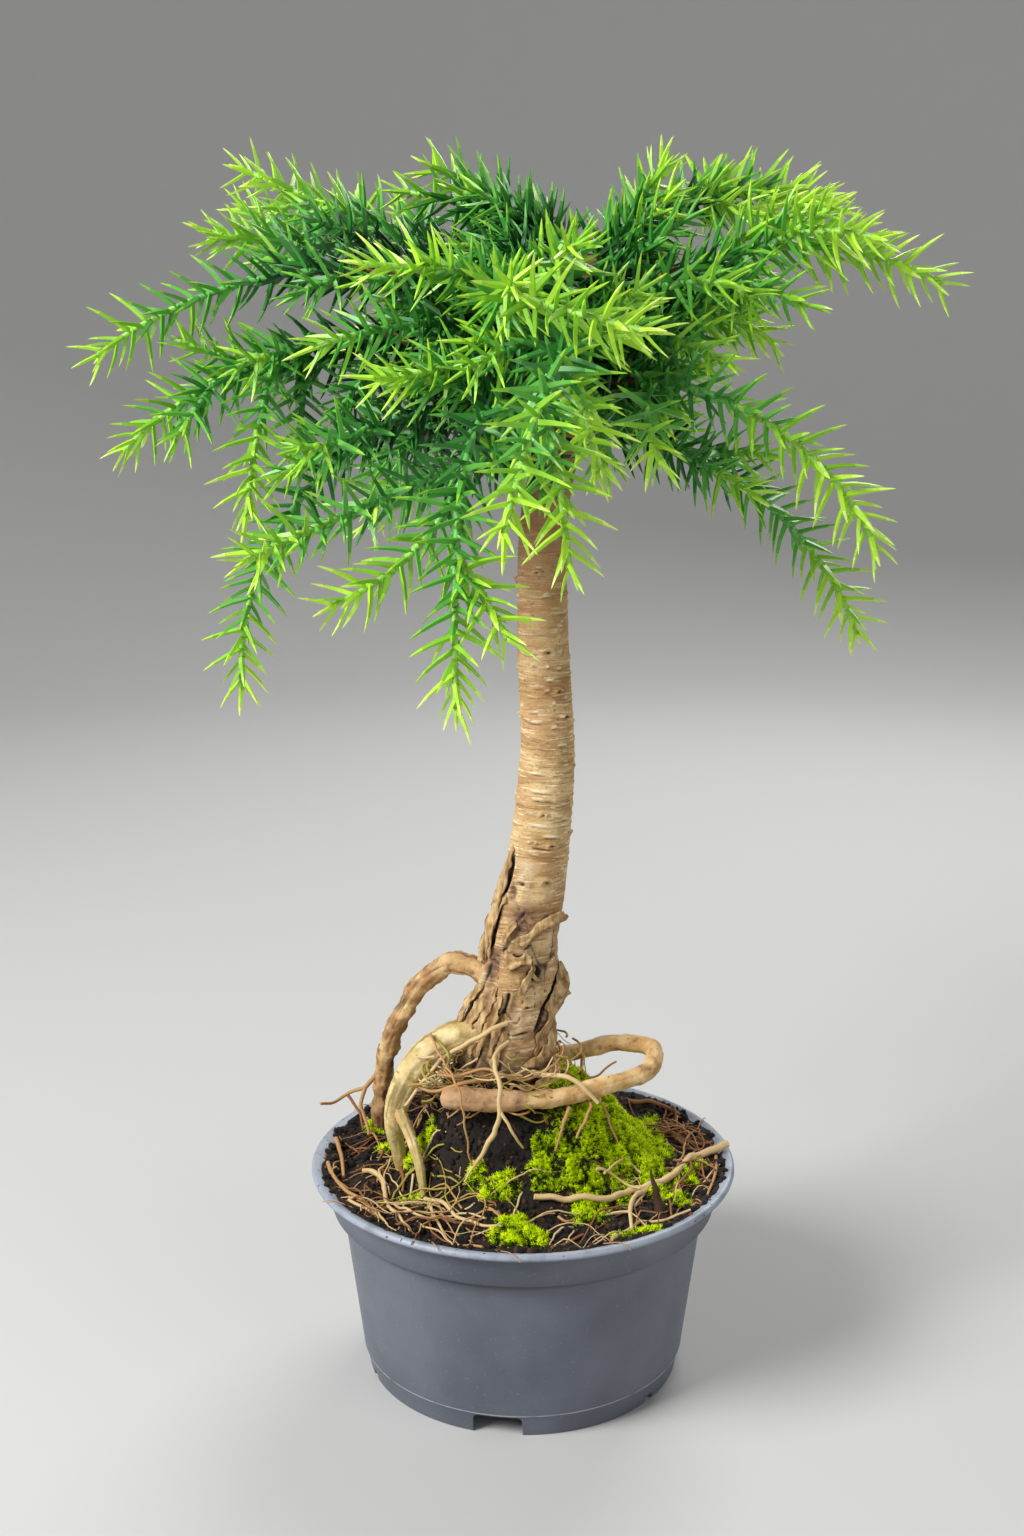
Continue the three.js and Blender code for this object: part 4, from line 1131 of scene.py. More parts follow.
def root_mesh(root):
    """Vertices and faces of a root, how deep each vertex lies in a groove, and how near it is to the end."""
    path = smooth_path(root["bends"], ROOT_STEP)
    walked_off = np.arange(len(path)) * ROOT_STEP
    radius = np.interp(np.linspace(0, 1, len(path)), *zip(*root["radii"]))
    if root["round"]:
        left = np.linalg.norm(path - path[-1], axis=1)
        radius = radius * np.sqrt(1 - np.clip(1 - left / radius[-1], 0, NEARLY_CLOSED) ** 2)
    rings = rings_along(path, radius, ROOT_SIDES)
    turn = np.linspace(0, FULL_TURN, ROOT_SIDES, endpoint=False)
    along = 0 * turn + walked_off[:, None]
    around = np.stack([np.cos(turn) + 0 * along, np.sin(turn) + 0 * along, along], -1).reshape(-1, 3)
    long_ridges = sum(
        strength * rough(around, np.array([wide, wide, length])) for strength, wide, length in RIDGES
    )
    flat = rings.reshape(-1, 3)
    burls = np.clip(rough(flat, root["size"] * BURLS["size"]) - BURLS["from"], 0, 1)
    knobs = rough(flat, root["size"]) + BURLS["strength"] * burls
    wrinkles = sum(height * rough(flat, size) for height, size in WRINKLES)
    bumps = root["knobs"] * knobs + root["ridges"] * long_ridges + wrinkles
    hollow = np.clip(-GROOVES["ridges"] * long_ridges - GROOVES["knobs"] * knobs, 0, 1)
    near_end = np.repeat(np.clip(1 - (walked_off[-1] - walked_off) / ROOT_END, 0, 1), ROOT_SIDES)
    heights = bumps.reshape(rings.shape[:2]) * (radius / radius.max())[:, None]
    return *closed(raised(path, rings, heights)), hollow * min(1, 2 * root["ridges"]), near_end


print("root bends:", {name: len(root["bends"]) for name, root in ROOTS.items()})

# %% Root pieces
# Root bark: tan and dull, dark in its grooves as a painted shade, with brown scars. The looped root is
# browner at its blunt end, and the thick one is a smoother yellow-tan.
ROOT_COLOURS = {  # base, light, dark groove, scars, end
    "left_arch": ("#a67c4b", "#d6b27c", "#5c3f25", "#6e4a2b", "#8d6a40"),
    "right_loop": ("#c49a60", "#e6c490", "#5a3d24", "#8d6442", "#b98f6c"),
    "left_thick": ("#c9ad70", "#ecd8a2", "#7d6a34", "#a18a4c", "#b3a05c"),
    "left_toe": ("#c4a86e", "#e6d29e", "#7d6a34", "#a18a4c", "#b3a05c"),
}
for name, root in ROOTS.items():
    base, light, dark, scar, end = ROOT_COLOURS[name]
    vertices, faces, groove, near_end = root_mesh(root)
    bark_finish = weathered(f"root_bark_{name}", base, 0.72, [
        (light, 1.0, ((7, 7, 7), 0.4, 0.64), None), (end, 0.7, None, ("near_end", 0, 0.08)),
        (scar, 0.75, ((4.5, 4.5, 4.5), 0.57, 0.68), None), (dark, 0.85, None, ("groove", 0.25, 0.9)),
        (dark, 0.8, ((2.0, 2.0, 2.0), 0.67, 0.74), None),
    ], ((1.1, 1.1, 1.1), 0.35))
    piece = new_object(f"exposed_root_{name}", vertices, faces, bark_finish)
    store(piece, "groove", groove)
    store(piece, "near_end", near_end)
    keep(piece, "root_bark", *root["nodes"])

# %% [markdown]
# ## Fine roots
# Thin feeder roots hang from the trunk's foot, creep over the soil, and a few cross the rim. A second
# Geometry Nodes tree turns any set of paths into tubes, with the radius that each point of a path holds.
# The roots that can be told apart in the photograph are listed one by one. The rest wander over the ground
# by a seeded rule: each keeps its heading, turns a little at every step, and lies on the height function.

# %% Tube tree
tubes, given = new_tree("tubes_along_paths", {"Sides": "Int", "Material": "Material"})
curves = add(tubes, "GeometryNodeMeshToCurve", {}, {"Mesh": given["Geometry"]})
radius = add(tubes, "GeometryNodeInputNamedAttribute", {"data_type": "FLOAT"}, {"Name": "radius"})
section = add(tubes, "GeometryNodeCurvePrimitiveCircle", {}, {"Resolution": given["Sides"], "Radius": 1.0})
skin = add(tubes, "GeometryNodeCurveToMesh", {}, {
    "Curve": curves, "Profile Curve": section, "Scale": radius, "Fill Caps": True,
})
smooth = add(tubes, "GeometryNodeSetShadeSmooth", {}, {"Geometry": skin})
real = add(tubes, "GeometryNodeRealizeInstances", {}, {"Geometry": smooth})
painted = add(tubes, "GeometryNodeSetMaterial", {}, {"Geometry": real, "Material": given["Material"]})
add(tubes, "NodeGroupOutput", {}, {"Geometry": painted})


def path_object(name, paths, attributes):
    """One mesh of loose paths. Each attribute has a list of values for every path."""
    edges, first = [], 0
    for path in paths:
        edges += [(first + i, first + i + 1) for i in range(len(path) - 1)]
        first += len(path)
    made = new_object(name, np.vstack(paths), [], edges=edges)
    for attribute, values in attributes.items():
        store(made, attribute, np.concatenate(values))
    return made


print("tube tree with", len(tubes.nodes), "nodes")

# %% Fine roots listed one by one
ROOT_TINTS = {"tan": "#b78c58", "pale": "#d8ba86", "olive": "#a9993f", "brown": "#8a5a34", "dark": "#432a1a"}
PLACED_ROOTS = [  # tint, first and last diameter, bends
    ("pale", 2.0, 1.2, [
        (-6, -16, 148), (-11, -18, 147), (-17, -19, 144), (-26, -19, 139), (-35, -20, 131), (-46, -21, 116),
    ]),
    ("pale", 1.6, 2.0, [
        (-6, -18, 141), (-11, -27, 139), (-11, -33, 137), (-9, -37, 131), (-9, -38, 124), (-11, -37, 112),
    ]),
    ("pale", 2.4, 0.8, [(-11, -37, 112), (-15, -36, 104), (-20, -36, 96), (-23, -37, 92)]),
    ("pale", 1.5, 0.8, [(-9, -38, 122), (-5, -40, 115), (0, -37, 106)]),
    ("tan", 1.1, 0.8, [(-36, -16, 144), (-31, -24, 136), (-25, -36, 131), (-23, -38, 120), (-20, -36, 98)]),
    ("tan", 1.9, 0.8, [(18, -26, 118), (15, -29, 110), (12, -33, 103)]),
    ("tan", 1.2, 0.8, [(28, -22, 122), (32, -17, 112), (36, -18, 102), (39, -19, 96)]),
    ("pale", 2.2, 1.6, [(4, -16, 128), (10, -22, 129), (17, -25, 130), (23, -27, 126), (29, -27, 120)]),
    ("tan", 2.2, 1.2, [(-10, -17, 126), (-20, -26, 128), (-33, -24, 124), (-44, -20, 124)]),
    ("tan", 1.6, 1.0, [(10, -12, 122), (22, -18, 119), (26, -26, 118), (20, -33, 108)]),
    ("olive", 1.3, 0.8, [
        (-36, -14, 143), (-31, -18, 140), (-29, -22, 134), (-34, -24, 128), (-44, -22, 125),
    ]),
    ("tan", 1.4, 1.0, [(-33, -26, 131), (-24, -27, 131), (-15, -27, 134), (-9, -30, 133), (0, -30, 132)]),
    ("tan", 1.2, 0.8, [(24, 8, 129), (24, 4, 121), (24, -2, 120), (29, 2, 119), (38, 8, 123)]),
    ("tan", 2.4, 1.2, [
        (-58, 24, 115), (-61, 28, 109), (-66, 32, 102), (-74, 34, 98), (-80, 30, 95), (-84, 26, 97),
    ]),
    ("tan", 1.8, 1.2, [(-66, 32, 102), (-68, 30, 95), (-65, 26, 89), (-64, 20, 85)]),
    ("brown", 1.4, 1.0, [(-74, 34, 98), (-69, 30, 93), (-66, 24, 86)]),
    ("dark", 5.0, 0.6, [(52, -45, 80), (50, -44, 92), (48, -43, 100)]),
]
GROUND_ROOTS = [  # tint, first and last diameter, height above the soil, and points on the ground
    ("pale", 2.4, 3.2, 3.0, [
        (4, -47), (19, -45), (31, -42), (39, -35), (49, -28), (59, -18), (68, -4), (77, 1), (83, 4),
    ]),
    ("pale", 2.4, 1.2, 2.6, [(48, -29), (42, -39), (40, -51), (40, -62)]),
    ("pale", 1.2, 0.8, 5.0, [(28, -35), (36, -32), (45, -35)]),
    ("pale", 1.1, 0.8, 5.0, [(31, -35), (36, -27), (41, -22), (46, -24)]),
    ("pale", 2.2, 1.2, 1.2, [(-64, -12), (-60, -12), (-55, -22), (-52, -40), (-47, -51), (-42, -62)]),
    ("tan", 1.8, 1.2, 1.6, [(-78, -7), (-75, -18), (-68, -31), (-59, -42), (-52, -56)]),
    ("pale", 1.4, 1.0, 1.0, [(-67, -38), (-62, -43), (-55, -50), (-51, -57)]),
    ("pale", 2.0, 1.0, 1.6, [(-38, -35), (-31, -41), (-24, -50), (-15, -59), (-8, -60)]),
    ("pale", 1.4, 0.9, 1.2, [(-37, -39), (-33, -52), (-27, -68)]),
    ("tan", 2.0, 1.2, 2.0, [(-77, 16), (-75, 8), (-73, -2), (-71, -16)]),
    ("tan", 1.6, 1.0, 1.6, [(-66, 38), (-64, 28), (-59, 14)]),
    ("brown", 1.8, 1.2, 1.4, [(-49, -12), (-47, -22), (-47, -28)]),
    ("pale", 1.2, 0.8, 1.0, [(-43, -22), (-44, -30), (-46, -40)]),
    ("pale", 1.2, 0.8, 1.4, [(-51, -36), (-39, -52), (-24, -47), (-14, -53)]),
    ("tan", 1.2, 1.0, 0.8, [(-23, -75), (-20, -73), (-15, -77)]),
    ("tan", 1.0, 0.8, 1.2, [(-20, -51), (-15, -49), (-9, -52)]),
    ("pale", 1.2, 0.8, 1.0, [(-39, -20), (-35, -17), (-30, -20)]),
    ("pale", 1.4, 0.9, 1.2, [(33, -49), (39, -48), (47, -31)]),
    ("pale", 1.6, 1.0, 1.2, [(32, -70), (40, -59), (45, -53), (54, -52), (63, -48)]),
    ("tan", 1.4, 1.0, 1.0, [(78, 0), (76, -16), (71, -34)]),
    ("brown", 2.0, 1.2, 1.4, [(58, 34), (63, 22), (71, 14), (78, 13)]),
    ("brown", 2.2, 1.4, 1.6, [(46, 55), (54, 54), (63, 45), (67, 39)]),
    ("brown", 1.6, 1.0, 1.2, [(60, 37), (64, 19), (73, 8), (78, 10)]),
    ("brown", 1.4, 1.0, 0.8, [(10, -75), (16, -68), (22, -64)]),
    ("tan", 1.2, 0.8, 1.4, [(13, -52), (16, -55), (19, -52)]),
]
FIBRE_STEP = 2.0
WAVER = {"far": 0.9, "sizes": (5, 6, 7)}  # how a placed root strays from its bends along X, Y and Z
HUMPS = {"share": 0.5, "size": 14}  # how unevenly a root lies on the ground
fine_paths = {tint: [] for tint in ROOT_TINTS}


def lay(tint, path, first, last):
    """Adds a path with its tapering radii, in millimetres."""
    fine_paths[tint].append((path, np.linspace(first / 2, last / 2, len(path))))


def on_ground(points, lift):
    """Flat points set on the soil, raised by the lift at each."""
    points = np.asarray(points, float)
    return np.column_stack([points, ground(points[:, 0], points[:, 1]) + lift])


for tint, first, last, bends in PLACED_ROOTS:
    path = smooth_path(bends, FIBRE_STEP)
    strays = np.stack([rough(path, size) for size in WAVER["sizes"]], -1)
    lay(tint, path + WAVER["far"] * strays, first, last)
for tint, first, last, clear, bends in GROUND_ROOTS:
    flat = smooth_path([(x, y, 0) for x, y in bends], FIBRE_STEP)
    lift = clear * (1 + HUMPS["share"] * rough(flat, HUMPS["size"]))
    lay(tint, on_ground(flat[:, :2], lift), first, last)
print(len(PLACED_ROOTS) + len(GROUND_ROOTS), "fine roots placed by eye")

# %% Fine roots by rule
SPREADS = [  # tint, count, azimuths, nearest and furthest start, length, diameter
    ("tan", 24, (170, 262), (46, 76), (24, 60), (0.4, 1.0)),
    ("pale", 24, (180, 290), (44, 76), (22, 54), (0.4, 1.0)),
    ("brown", 22, (170, 250), (48, 76), (20, 46), (0.5, 1.1)),
    ("brown", 40, (320, 400), (54, 77), (28, 64), (0.5, 1.3)),
    ("tan", 18, (320, 400), (52, 76), (24, 54), (0.5, 1.1)),
    ("brown", 40, (20, 170), (44, 76), (26, 64), (0.6, 1.4)),
    ("pale", 14, (285, 350), (42, 76), (18, 46), (0.4, 0.9)),
    ("olive", 22, (180, 250), (30, 54), (12, 34), (0.5, 1.1)),
]
CREEP = {  # near and edge are how far a creeping root stays from the pot's middle and from the soil's edge
    "aside": (30, 120), "turn": 0.2, "near": 34, "edge": 2, "clear": 0.3, "hump": (0.2, 4.4), "wave": 0.5,
    "waves": (4, 12), "taper": 0.5, "least_steps": 4,
}
TANGLES = [
    # how many, middle x and y, how far from it, lowest and highest start, fall, sweep in degrees, diameter
    (150, (-7, 0), (16, 30), (117, 136), (0, 14), (12, 60), (0.4, 1.1)),
    (46, (-30, -14), (2, 11), (116, 138), (0, 16), (40, 150), (0.4, 1.1)),
]
TANGLE = {
    "tints": ("pale", "olive", "tan"), "points": 14, "sway": 3, "sways": (2, 7), "bumps": 2, "bump_size": 6,
    "clear": 0.4, "taper": 0.6,
}
RIM_FIBRES = [215, 243, 262, 292, 20, 75, 140]  # azimuths of fibres that cross the rim
RIM = {
    "inside": 77, "inside_height": 84, "top": 84, "top_height": 86.6, "top_aside": 0.7, "outside": 86.2,
    "aside": (6, 11), "drop": (1, 3), "diameters": (0.5, 0.3),
}
draw = random.Random(23)


def toward(azimuth):
    """The flat direction of an azimuth."""
    return np.array([math.cos(math.radians(azimuth)), math.sin(math.radians(azimuth))])


def creep(start, azimuth, length, diameter):
    """A root that wanders over the ground, humping clear of it here and there."""
    steps = max(CREEP["least_steps"], round(length / FIBRE_STEP))
    points, heading = [np.array(start, float)], math.radians(azimuth)
    for _ in range(steps):
        heading += draw.gauss(0, CREEP["turn"])
        step = points[-1] + FIBRE_STEP * np.array([math.cos(heading), math.sin(heading)])
        if not CREEP["near"] < np.hypot(*step) < SOIL["edge"] - CREEP["edge"]:
            break
        points.append(step)
    share = np.linspace(0, 1, len(points))
    hump = draw.uniform(*CREEP["hump"]) * np.sin(np.pi * share) ** 2
    wave = CREEP["wave"] * np.sin(share * draw.uniform(*CREEP["waves"]))
    return on_ground(points, diameter * CREEP["clear"] + hump + wave)


for tint, count, sector, reaches, lengths, diameters in SPREADS:
    for _ in range(count):
        azimuth, away = draw.uniform(*sector), draw.uniform(*reaches)
        diameter = draw.uniform(*diameters)
        bearing = azimuth + draw.choice((-1, 1)) * draw.uniform(*CREEP["aside"])
        path = creep(away * toward(azimuth), bearing, draw.uniform(*lengths), diameter)
        lay(tint, path, diameter, diameter * CREEP["taper"])
for count, (middle_x, middle_y), reaches, levels, falls, sweeps, diameters in TANGLES:
    for _ in range(count):
        share = np.linspace(0, 1, TANGLE["points"])
        turn = np.radians(draw.uniform(0, 360) + draw.choice((-1, 1)) * draw.uniform(*sweeps) * share)
        away = draw.uniform(*reaches) + TANGLE["sway"] * np.sin(share * draw.uniform(*TANGLE["sways"]))
        level = draw.uniform(*levels) - draw.uniform(*falls) * share
        path = np.stack([middle_x + away * np.cos(turn), middle_y + away * np.sin(turn), level], -1)
        bumpy = path[:, 2] + TANGLE["bumps"] * rough(path, TANGLE["bump_size"])
        path[:, 2] = np.maximum(bumpy, ground(path[:, 0], path[:, 1]) + TANGLE["clear"])
        diameter = draw.uniform(*diameters)
        lay(draw.choice(TANGLE["tints"]), path, diameter, diameter * TANGLE["taper"])
for azimuth in RIM_FIBRES:
    way = toward(azimuth)
    side = np.array([-way[1], way[0]]) * draw.choice((-1, 1)) * draw.uniform(*RIM["aside"])
    low = RIM["top_height"] - draw.uniform(*RIM["drop"])
    bends = [
        (*(way * RIM["inside"]), RIM["inside_height"]),
        (*(way * RIM["top"] + side * RIM["top_aside"]), RIM["top_height"]),
        (*(way * RIM["outside"] + side), low),
    ]
    lay("tan", smooth_path(bends, FIBRE_STEP), *RIM["diameters"])
print({tint: len(paths) for tint, paths in fine_paths.items()}, "fine roots")

# %% Fine root pieces
FINE_ROOT_SIDES = 6
for tint, paths in fine_paths.items():
    source = path_object("fine_paths", [path for path, _ in paths], {"radius": [r * MM for _, r in paths]})
    roots = grown(f"fine_roots_{tint}", source, tubes, {
        "Sides": FINE_ROOT_SIDES, "Material": plain(f"feeder_root_{tint}", ROOT_TINTS[tint], 0.7),
    })
    keep(roots, "root_bark")

# %% [markdown]
# ## Crown
# The solids grow each limb by one rule: it leaves the trunk at a height, heads for an azimuth that swings as
# it goes, and its slope bends evenly from a rise to a fall. The same rule, with the same sizes, is written
# again here and carried on to finer twigs: many more side twigs along the inner part of each limb, and
# short shoots round the trunk's top. A side twig that would close a gap of the real crown is left out.
# Azimuth 0 is right, 90 back, 180 left and 270 front.

# %% Growth rule
LIMBS = {  # height, azimuth, swing, rise, fall, length, and the share that is a bare bough
    "right_long": (405, -6, -2, 46, -28, 140, 0.36), "right_upper": (416, 52, -32, 56, -20, 143, 0),
    "right_middle": (396, 24, -24, 52, -38, 86, 0), "right_droop": (383, 304, 50, 24, -64, 148, 0.3),
    "right_back_droop": (374, 12, -18, 0, -68, 146, 0.3), "left_upper": (421, 132, 30, 14, 22, 172, 0.4),
    "left_middle": (413, 150, 26, 24, 0, 150, 0), "left_long": (405, 176, 12, 34, -37, 186, 0.5),
    "left_lower": (391, 184, 0, 27, -44, 176, 0.42), "left_droop": (383, 178, 26, 12, -92, 184, 0.42),
    "left_front": (377, 226, 6, -14, -14, 160, 0.3), "left_front_middle": (388, 212, 0, 0, -26, 122, 0),
    "left_front_upper": (399, 228, -20, 22, -18, 114, 0), "front_main": (393, 272, -22, 26, -54, 188, 0.25),
    "front_droop": (380, 240, 36, 24, -88, 190, 0.25), "front_high": (412, 215, 125, 12, -16, 152, 0.25),
    "front_left_high": (417, 250, -60, 12, 2, 102, 0), "front_left_middle": (404, 252, -44, -1, -12, 94, 0),
    "front_right": (396, 318, 14, 34, -30, 66, 0), "top_left": (427, 155, -6, 48, 18, 78, 0),
    "top_right": (427, 44, 0, 30, 62, 60, 0), "back_right": (402, 62, -12, 40, -36, 158, 0.35),
    "back_long": (392, 86, 8, 34, -46, 170, 0.35), "back_left": (400, 114, 22, 34, -36, 164, 0.35),
    "back_right_droop": (378, 64, 10, 28, -36, 138, 0), "back_left_droop": (380, 130, 0, 18, -62, 146, 0),
}
SHOOT_STEP, LEAST_STEPS = 3.0, 4


def grow(start, azimuth, swing, rise, fall, length):
    """The path of a shoot whose azimuth swings, and whose slope bends evenly from rise to fall."""
    steps = max(LEAST_STEPS, round(length / SHOOT_STEP))
    share = (np.arange(steps) + 0.5) / steps
    bearing, slope = np.radians(azimuth + swing * share), np.radians(rise + (fall - rise) * share)
    heading = np.stack([np.cos(slope) * np.cos(bearing), np.cos(slope) * np.sin(bearing), np.sin(slope)], -1)
    return np.vstack([start, start + np.cumsum(heading * length / steps, 0)])


def trunk_at(level):
    """The middle of the trunk at a height."""
    return np.array([np.interp(level, trunk_heights, trunk_path[:, axis]) for axis in range(3)])


limbs = {name: grow(trunk_at(values[0]), *values[1:6]) for name, values in LIMBS.items()}
print(len(limbs), "limbs")

# %% Limbs and forks
# The darker forks lie inside the crown: their darker tint is a painted shade.
FORKS = [  # limb, share of its length, turn aside, rise, fall, length, and how much darker than a limb
    ("right_long", 0.5, -34, 22, -18, 52, 0), ("left_lower", 0.62, 70, -50, -72, 62, 0),
    ("front_main", 0.5, 31, -40, -68, 46, 0), ("front_main", 0.72, 40, -60, -80, 52, 0),
    ("front_droop", 0.6, -66, -64, -20, 58, 0), ("front_droop", 0.74, 55, -46, -56, 32, 0),
    ("front_high", 0.46, 4, 8, 0, 40, 0), ("left_lower", 0.41, -6, -27, 26, 75, 0.8),
    ("left_lower", 0.56, 0, -83, -83, 42, 1), ("left_front_middle", 0.63, 23, -16, 0, 46, 1),
    ("left_middle", 0.74, 0, 0, 13, 41, 0.3), ("right_long", 0.32, -20, -4, -25, 50, 0.8),
    ("right_middle", 0.52, 31, 1, -13, 38, 0.6), ("top_left", 0.31, 2, 24, 9, 61, 0.5),
    ("top_left", 0.27, 17, 46, 8, 38, 0.5), ("top_right", 0.25, -16, 62, 52, 39, 0.4),
    ("right_upper", 0.46, 3, 13, -5, 88, 0.2), ("right_long", 0.43, 10, 40, 22, 35, 0.2),
    ("left_upper", 0.74, -15, -23, 31, 60, 0.3), ("left_long", 0.31, -10, -58, -51, 59, 1),
]
# A limb's value darkens its needles' tints, and a value below 0 lightens them: partly the limb's own tint,
# partly painted shade and painted light.
SHADES = {  # how much darker a limb is than most, or lighter below 0
    "right_long": -0.7, "right_upper": -0.7, "right_middle": -0.1, "top_right": -0.5, "right_droop": -0.8,
    "right_back_droop": -0.4, "left_long": 0.3, "left_lower": 0.5, "left_droop": 0.2, "left_upper": -0.3,
    "front_high": -0.9, "front_left_high": -0.2, "front_left_middle": 0.8, "front_main": -0.2,
    "front_droop": -0.2, "left_middle": 0.8, "left_front_middle": 0.9, "left_front_upper": 0.8,
}
SHOOT_SIZES = {  # first and last radius, and the bare length at the root
    "limb": (1.7, 1.0, 12), "fork": (1.35, 0.95, 1), "twig": (1.2, 0.85, 2), "crown": (1.25, 0.85, 8),
}
shoots = []  # path, the three sizes, and how much darker than most
for name, path in limbs.items():
    shoots.append((path, *SHOOT_SIZES["limb"], SHADES.get(name, 0.0)))
for name, at, turn, rise, fall, length, darker in FORKS:
    _, azimuth, swing, *_ = LIMBS[name]
    start = limbs[name][round(at * (len(limbs[name]) - 1))]
    fork = grow(start, azimuth + swing * at + turn, 0, rise, fall, length)
    shoots.append((fork, *SHOOT_SIZES["fork"], darker))
print(len(shoots), "limbs and forks")

# %% Side twigs
# Side twigs lie inside the crown, so their needles are painted darker than their limb's: a painted shade.
TWIG = {
    "first": 14, "spacing": 9.5, "length": (44, 27), "shortest_at": 0.8, "spread": 0.3, "angle": 58,
    "curl": 0.4, "slope": 0.6, "tilt": 32, "droop": 16, "darker": (0.5, 1.6),
}
PLAIN_TIP = {"length": 40, "single": 0.6}  # length without twigs, or share of a limb that hangs out singly
SINGLE = {"front": 40, "side": 0.6, "below": 365}  # how far front, or how low, the tip of such a limb lies
AIRY = {  # limbs whose side twigs stand further apart, by how much
    "left_long": 1.8, "left_lower": 1.8, "left_middle": 1.5, "left_front": 1.5, "left_front_middle": 1.6,
    "left_droop": 1.5, "left_upper": 1.5, "right_long": 1.4, "right_upper": 1.5, "top_right": 1.4,
}
CROWN_GAPS = [  # x, y and radius of an open place in the crown, in the photograph's pixels
    (255, 312, 42), (120, 225, 75), (85, 415, 45), (150, 545, 60), (320, 700, 70), (150, 640, 40),
    (665, 565, 85), (860, 405, 95), (900, 175, 60), (582, 168, 28), (620, 500, 35), (300, 160, 24),
    (400, 640, 40), (270, 600, 30), (332, 322, 34), (300, 395, 30), (350, 440, 26), (255, 440, 24),
    (690, 235, 26), (800, 290, 34),
]
draw = random.Random(41)


def in_gap(point):
    """Whether a point lies, seen from the camera, where the crown is open."""
    seen = camera_turn.transposed() @ (Vector(point) - Vector(CAMERA_PLACE))
    x = PHOTO_WIDTH / 2 - FOCAL_LENGTH * seen.x / seen.z
    y = PHOTO_HEIGHT / 2 + FOCAL_LENGTH * seen.y / seen.z
    return any(math.hypot(x - gap_x, y - gap_y) < radius for gap_x, gap_y, radius in CROWN_GAPS)


def bears_twigs(path, shade, apart):
    """Side twigs along a stem up to its plain tip, left and right in turn, and shorter further out."""
    length = SHOOT_STEP * (len(path) - 1)
    tip_x, tip_y, tip_z = path[-1]
    is_front = tip_y < min(-SINGLE["front"], -SINGLE["side"] * abs(tip_x))
    is_single = is_front or tip_z < SINGLE["below"]
    plain_tip = PLAIN_TIP["single"] * length if is_single else PLAIN_TIP["length"]
    side = draw.choice((-1, 1))
    for reach in np.arange(TWIG["first"], length - plain_tip, TWIG["spacing"] * apart):
        here = round(reach / length * (len(path) - 1))
        tangent = path[here + 1] - path[here]
        tangent /= np.linalg.norm(tangent)
        azimuth = math.degrees(math.atan2(tangent[1], tangent[0])) + side * TWIG["angle"]
        swing = -side * TWIG["angle"] * TWIG["curl"]
        tilt = draw.uniform(-TWIG["tilt"], TWIG["tilt"])
        rise = math.degrees(math.asin(tangent[2])) * TWIG["slope"] + tilt
        size = np.interp(reach / length, (0, TWIG["shortest_at"]), TWIG["length"])
        size *= draw.uniform(1 - TWIG["spread"], 1 + TWIG["spread"])
        twig = grow(path[here], azimuth, swing, rise, rise - TWIG["droop"], size)
        darker = shade + draw.uniform(*TWIG["darker"])
        side = -side
        if not any(in_gap(point) for point in twig[len(twig) // 2:]):
            shoots.append((twig, *SHOOT_SIZES["twig"], darker))


for name, path in limbs.items():
    bears_twigs(path, SHADES.get(name, 0.0), AIRY.get(name, 1.0))
print(len(shoots), "shoots with the side twigs")

# %% Shoots round the trunk's top
# The shoots round the trunk's top lie deep in the crown, so their needles are painted darker: a painted
# shade.
CROWN_SHOOTS = {
    "count": 26, "from": 386, "to": 431, "length": (30, 56), "rise": (-20, 62), "droop": 24,
    "darker": (0.6, 1.8),
}
GOLDEN_TURN = 137.5  # degrees
for i in range(CROWN_SHOOTS["count"]):
    level = CROWN_SHOOTS["from"] + (CROWN_SHOOTS["to"] - CROWN_SHOOTS["from"]) * i / CROWN_SHOOTS["count"]
    rise = draw.uniform(*CROWN_SHOOTS["rise"])
    size = draw.uniform(*CROWN_SHOOTS["length"])
    shoot = grow(trunk_at(level), i * GOLDEN_TURN, 0, rise, rise - CROWN_SHOOTS["droop"], size)
    shoots.append((shoot, *SHOOT_SIZES["crown"], draw.uniform(*CROWN_SHOOTS["darker"])))
print(len(shoots), "shoots, of", round(sum(SHOOT_STEP * (len(s[0]) - 1) for s in shoots) / 1000, 1), "m")

# %% [markdown]
# ## Boughs
# The bare first part of a limb is a thin brown bough with old leaf scars. It is made as the roots are, with
# its own small relief, and its tip runs on into the green stem.

# %% Bough pieces
BOUGH = {"first": 3.4, "last": 2.2, "sides": 14, "step": 1.4, "every": 3}  # every third point of a limb
LEAF_SCARS = {"height": 0.35, "size": 2.2, "broad": 0.6, "broad_size": 5}
bough_parts = []
for name, path in limbs.items():
    share = LIMBS[name][-1]
    if share > 0:
        stretch = smooth_path(path[: round(share * len(path)) + 1 : BOUGH["every"]], BOUGH["step"])
        radius = np.linspace(BOUGH["first"], BOUGH["last"], len(stretch))
        rings = rings_along(stretch, radius, BOUGH["sides"])
        flat = rings.reshape(-1, 3)
        scars = rough(flat, LEAF_SCARS["size"]) + LEAF_SCARS["broad"] * rough(flat, LEAF_SCARS["broad_size"])
        scars = LEAF_SCARS["height"] * scars.reshape(rings.shape[:2])
        bough_parts.append(closed(raised(stretch, rings, scars)))
# Young bark: thin and brown, with pale scars where needles fell.
bough_bark = weathered("twig_bark", "#6b4826", 0.75, [
    ("#a87740", 1.0, ((5, 5, 5), 0.42, 0.62), None), ("#c79a63", 0.7, ((1.8, 1.8, 1.8), 0.6, 0.7), None),
], ((1.2, 1.2, 1.2), 0.3))
bough_nodes = sorted(name for name in frame["nodes"] if name.startswith("bough_"))
keep(new_object("bare_boughs", *joined(bough_parts), bough_bark), "bough_bark", *bough_nodes)
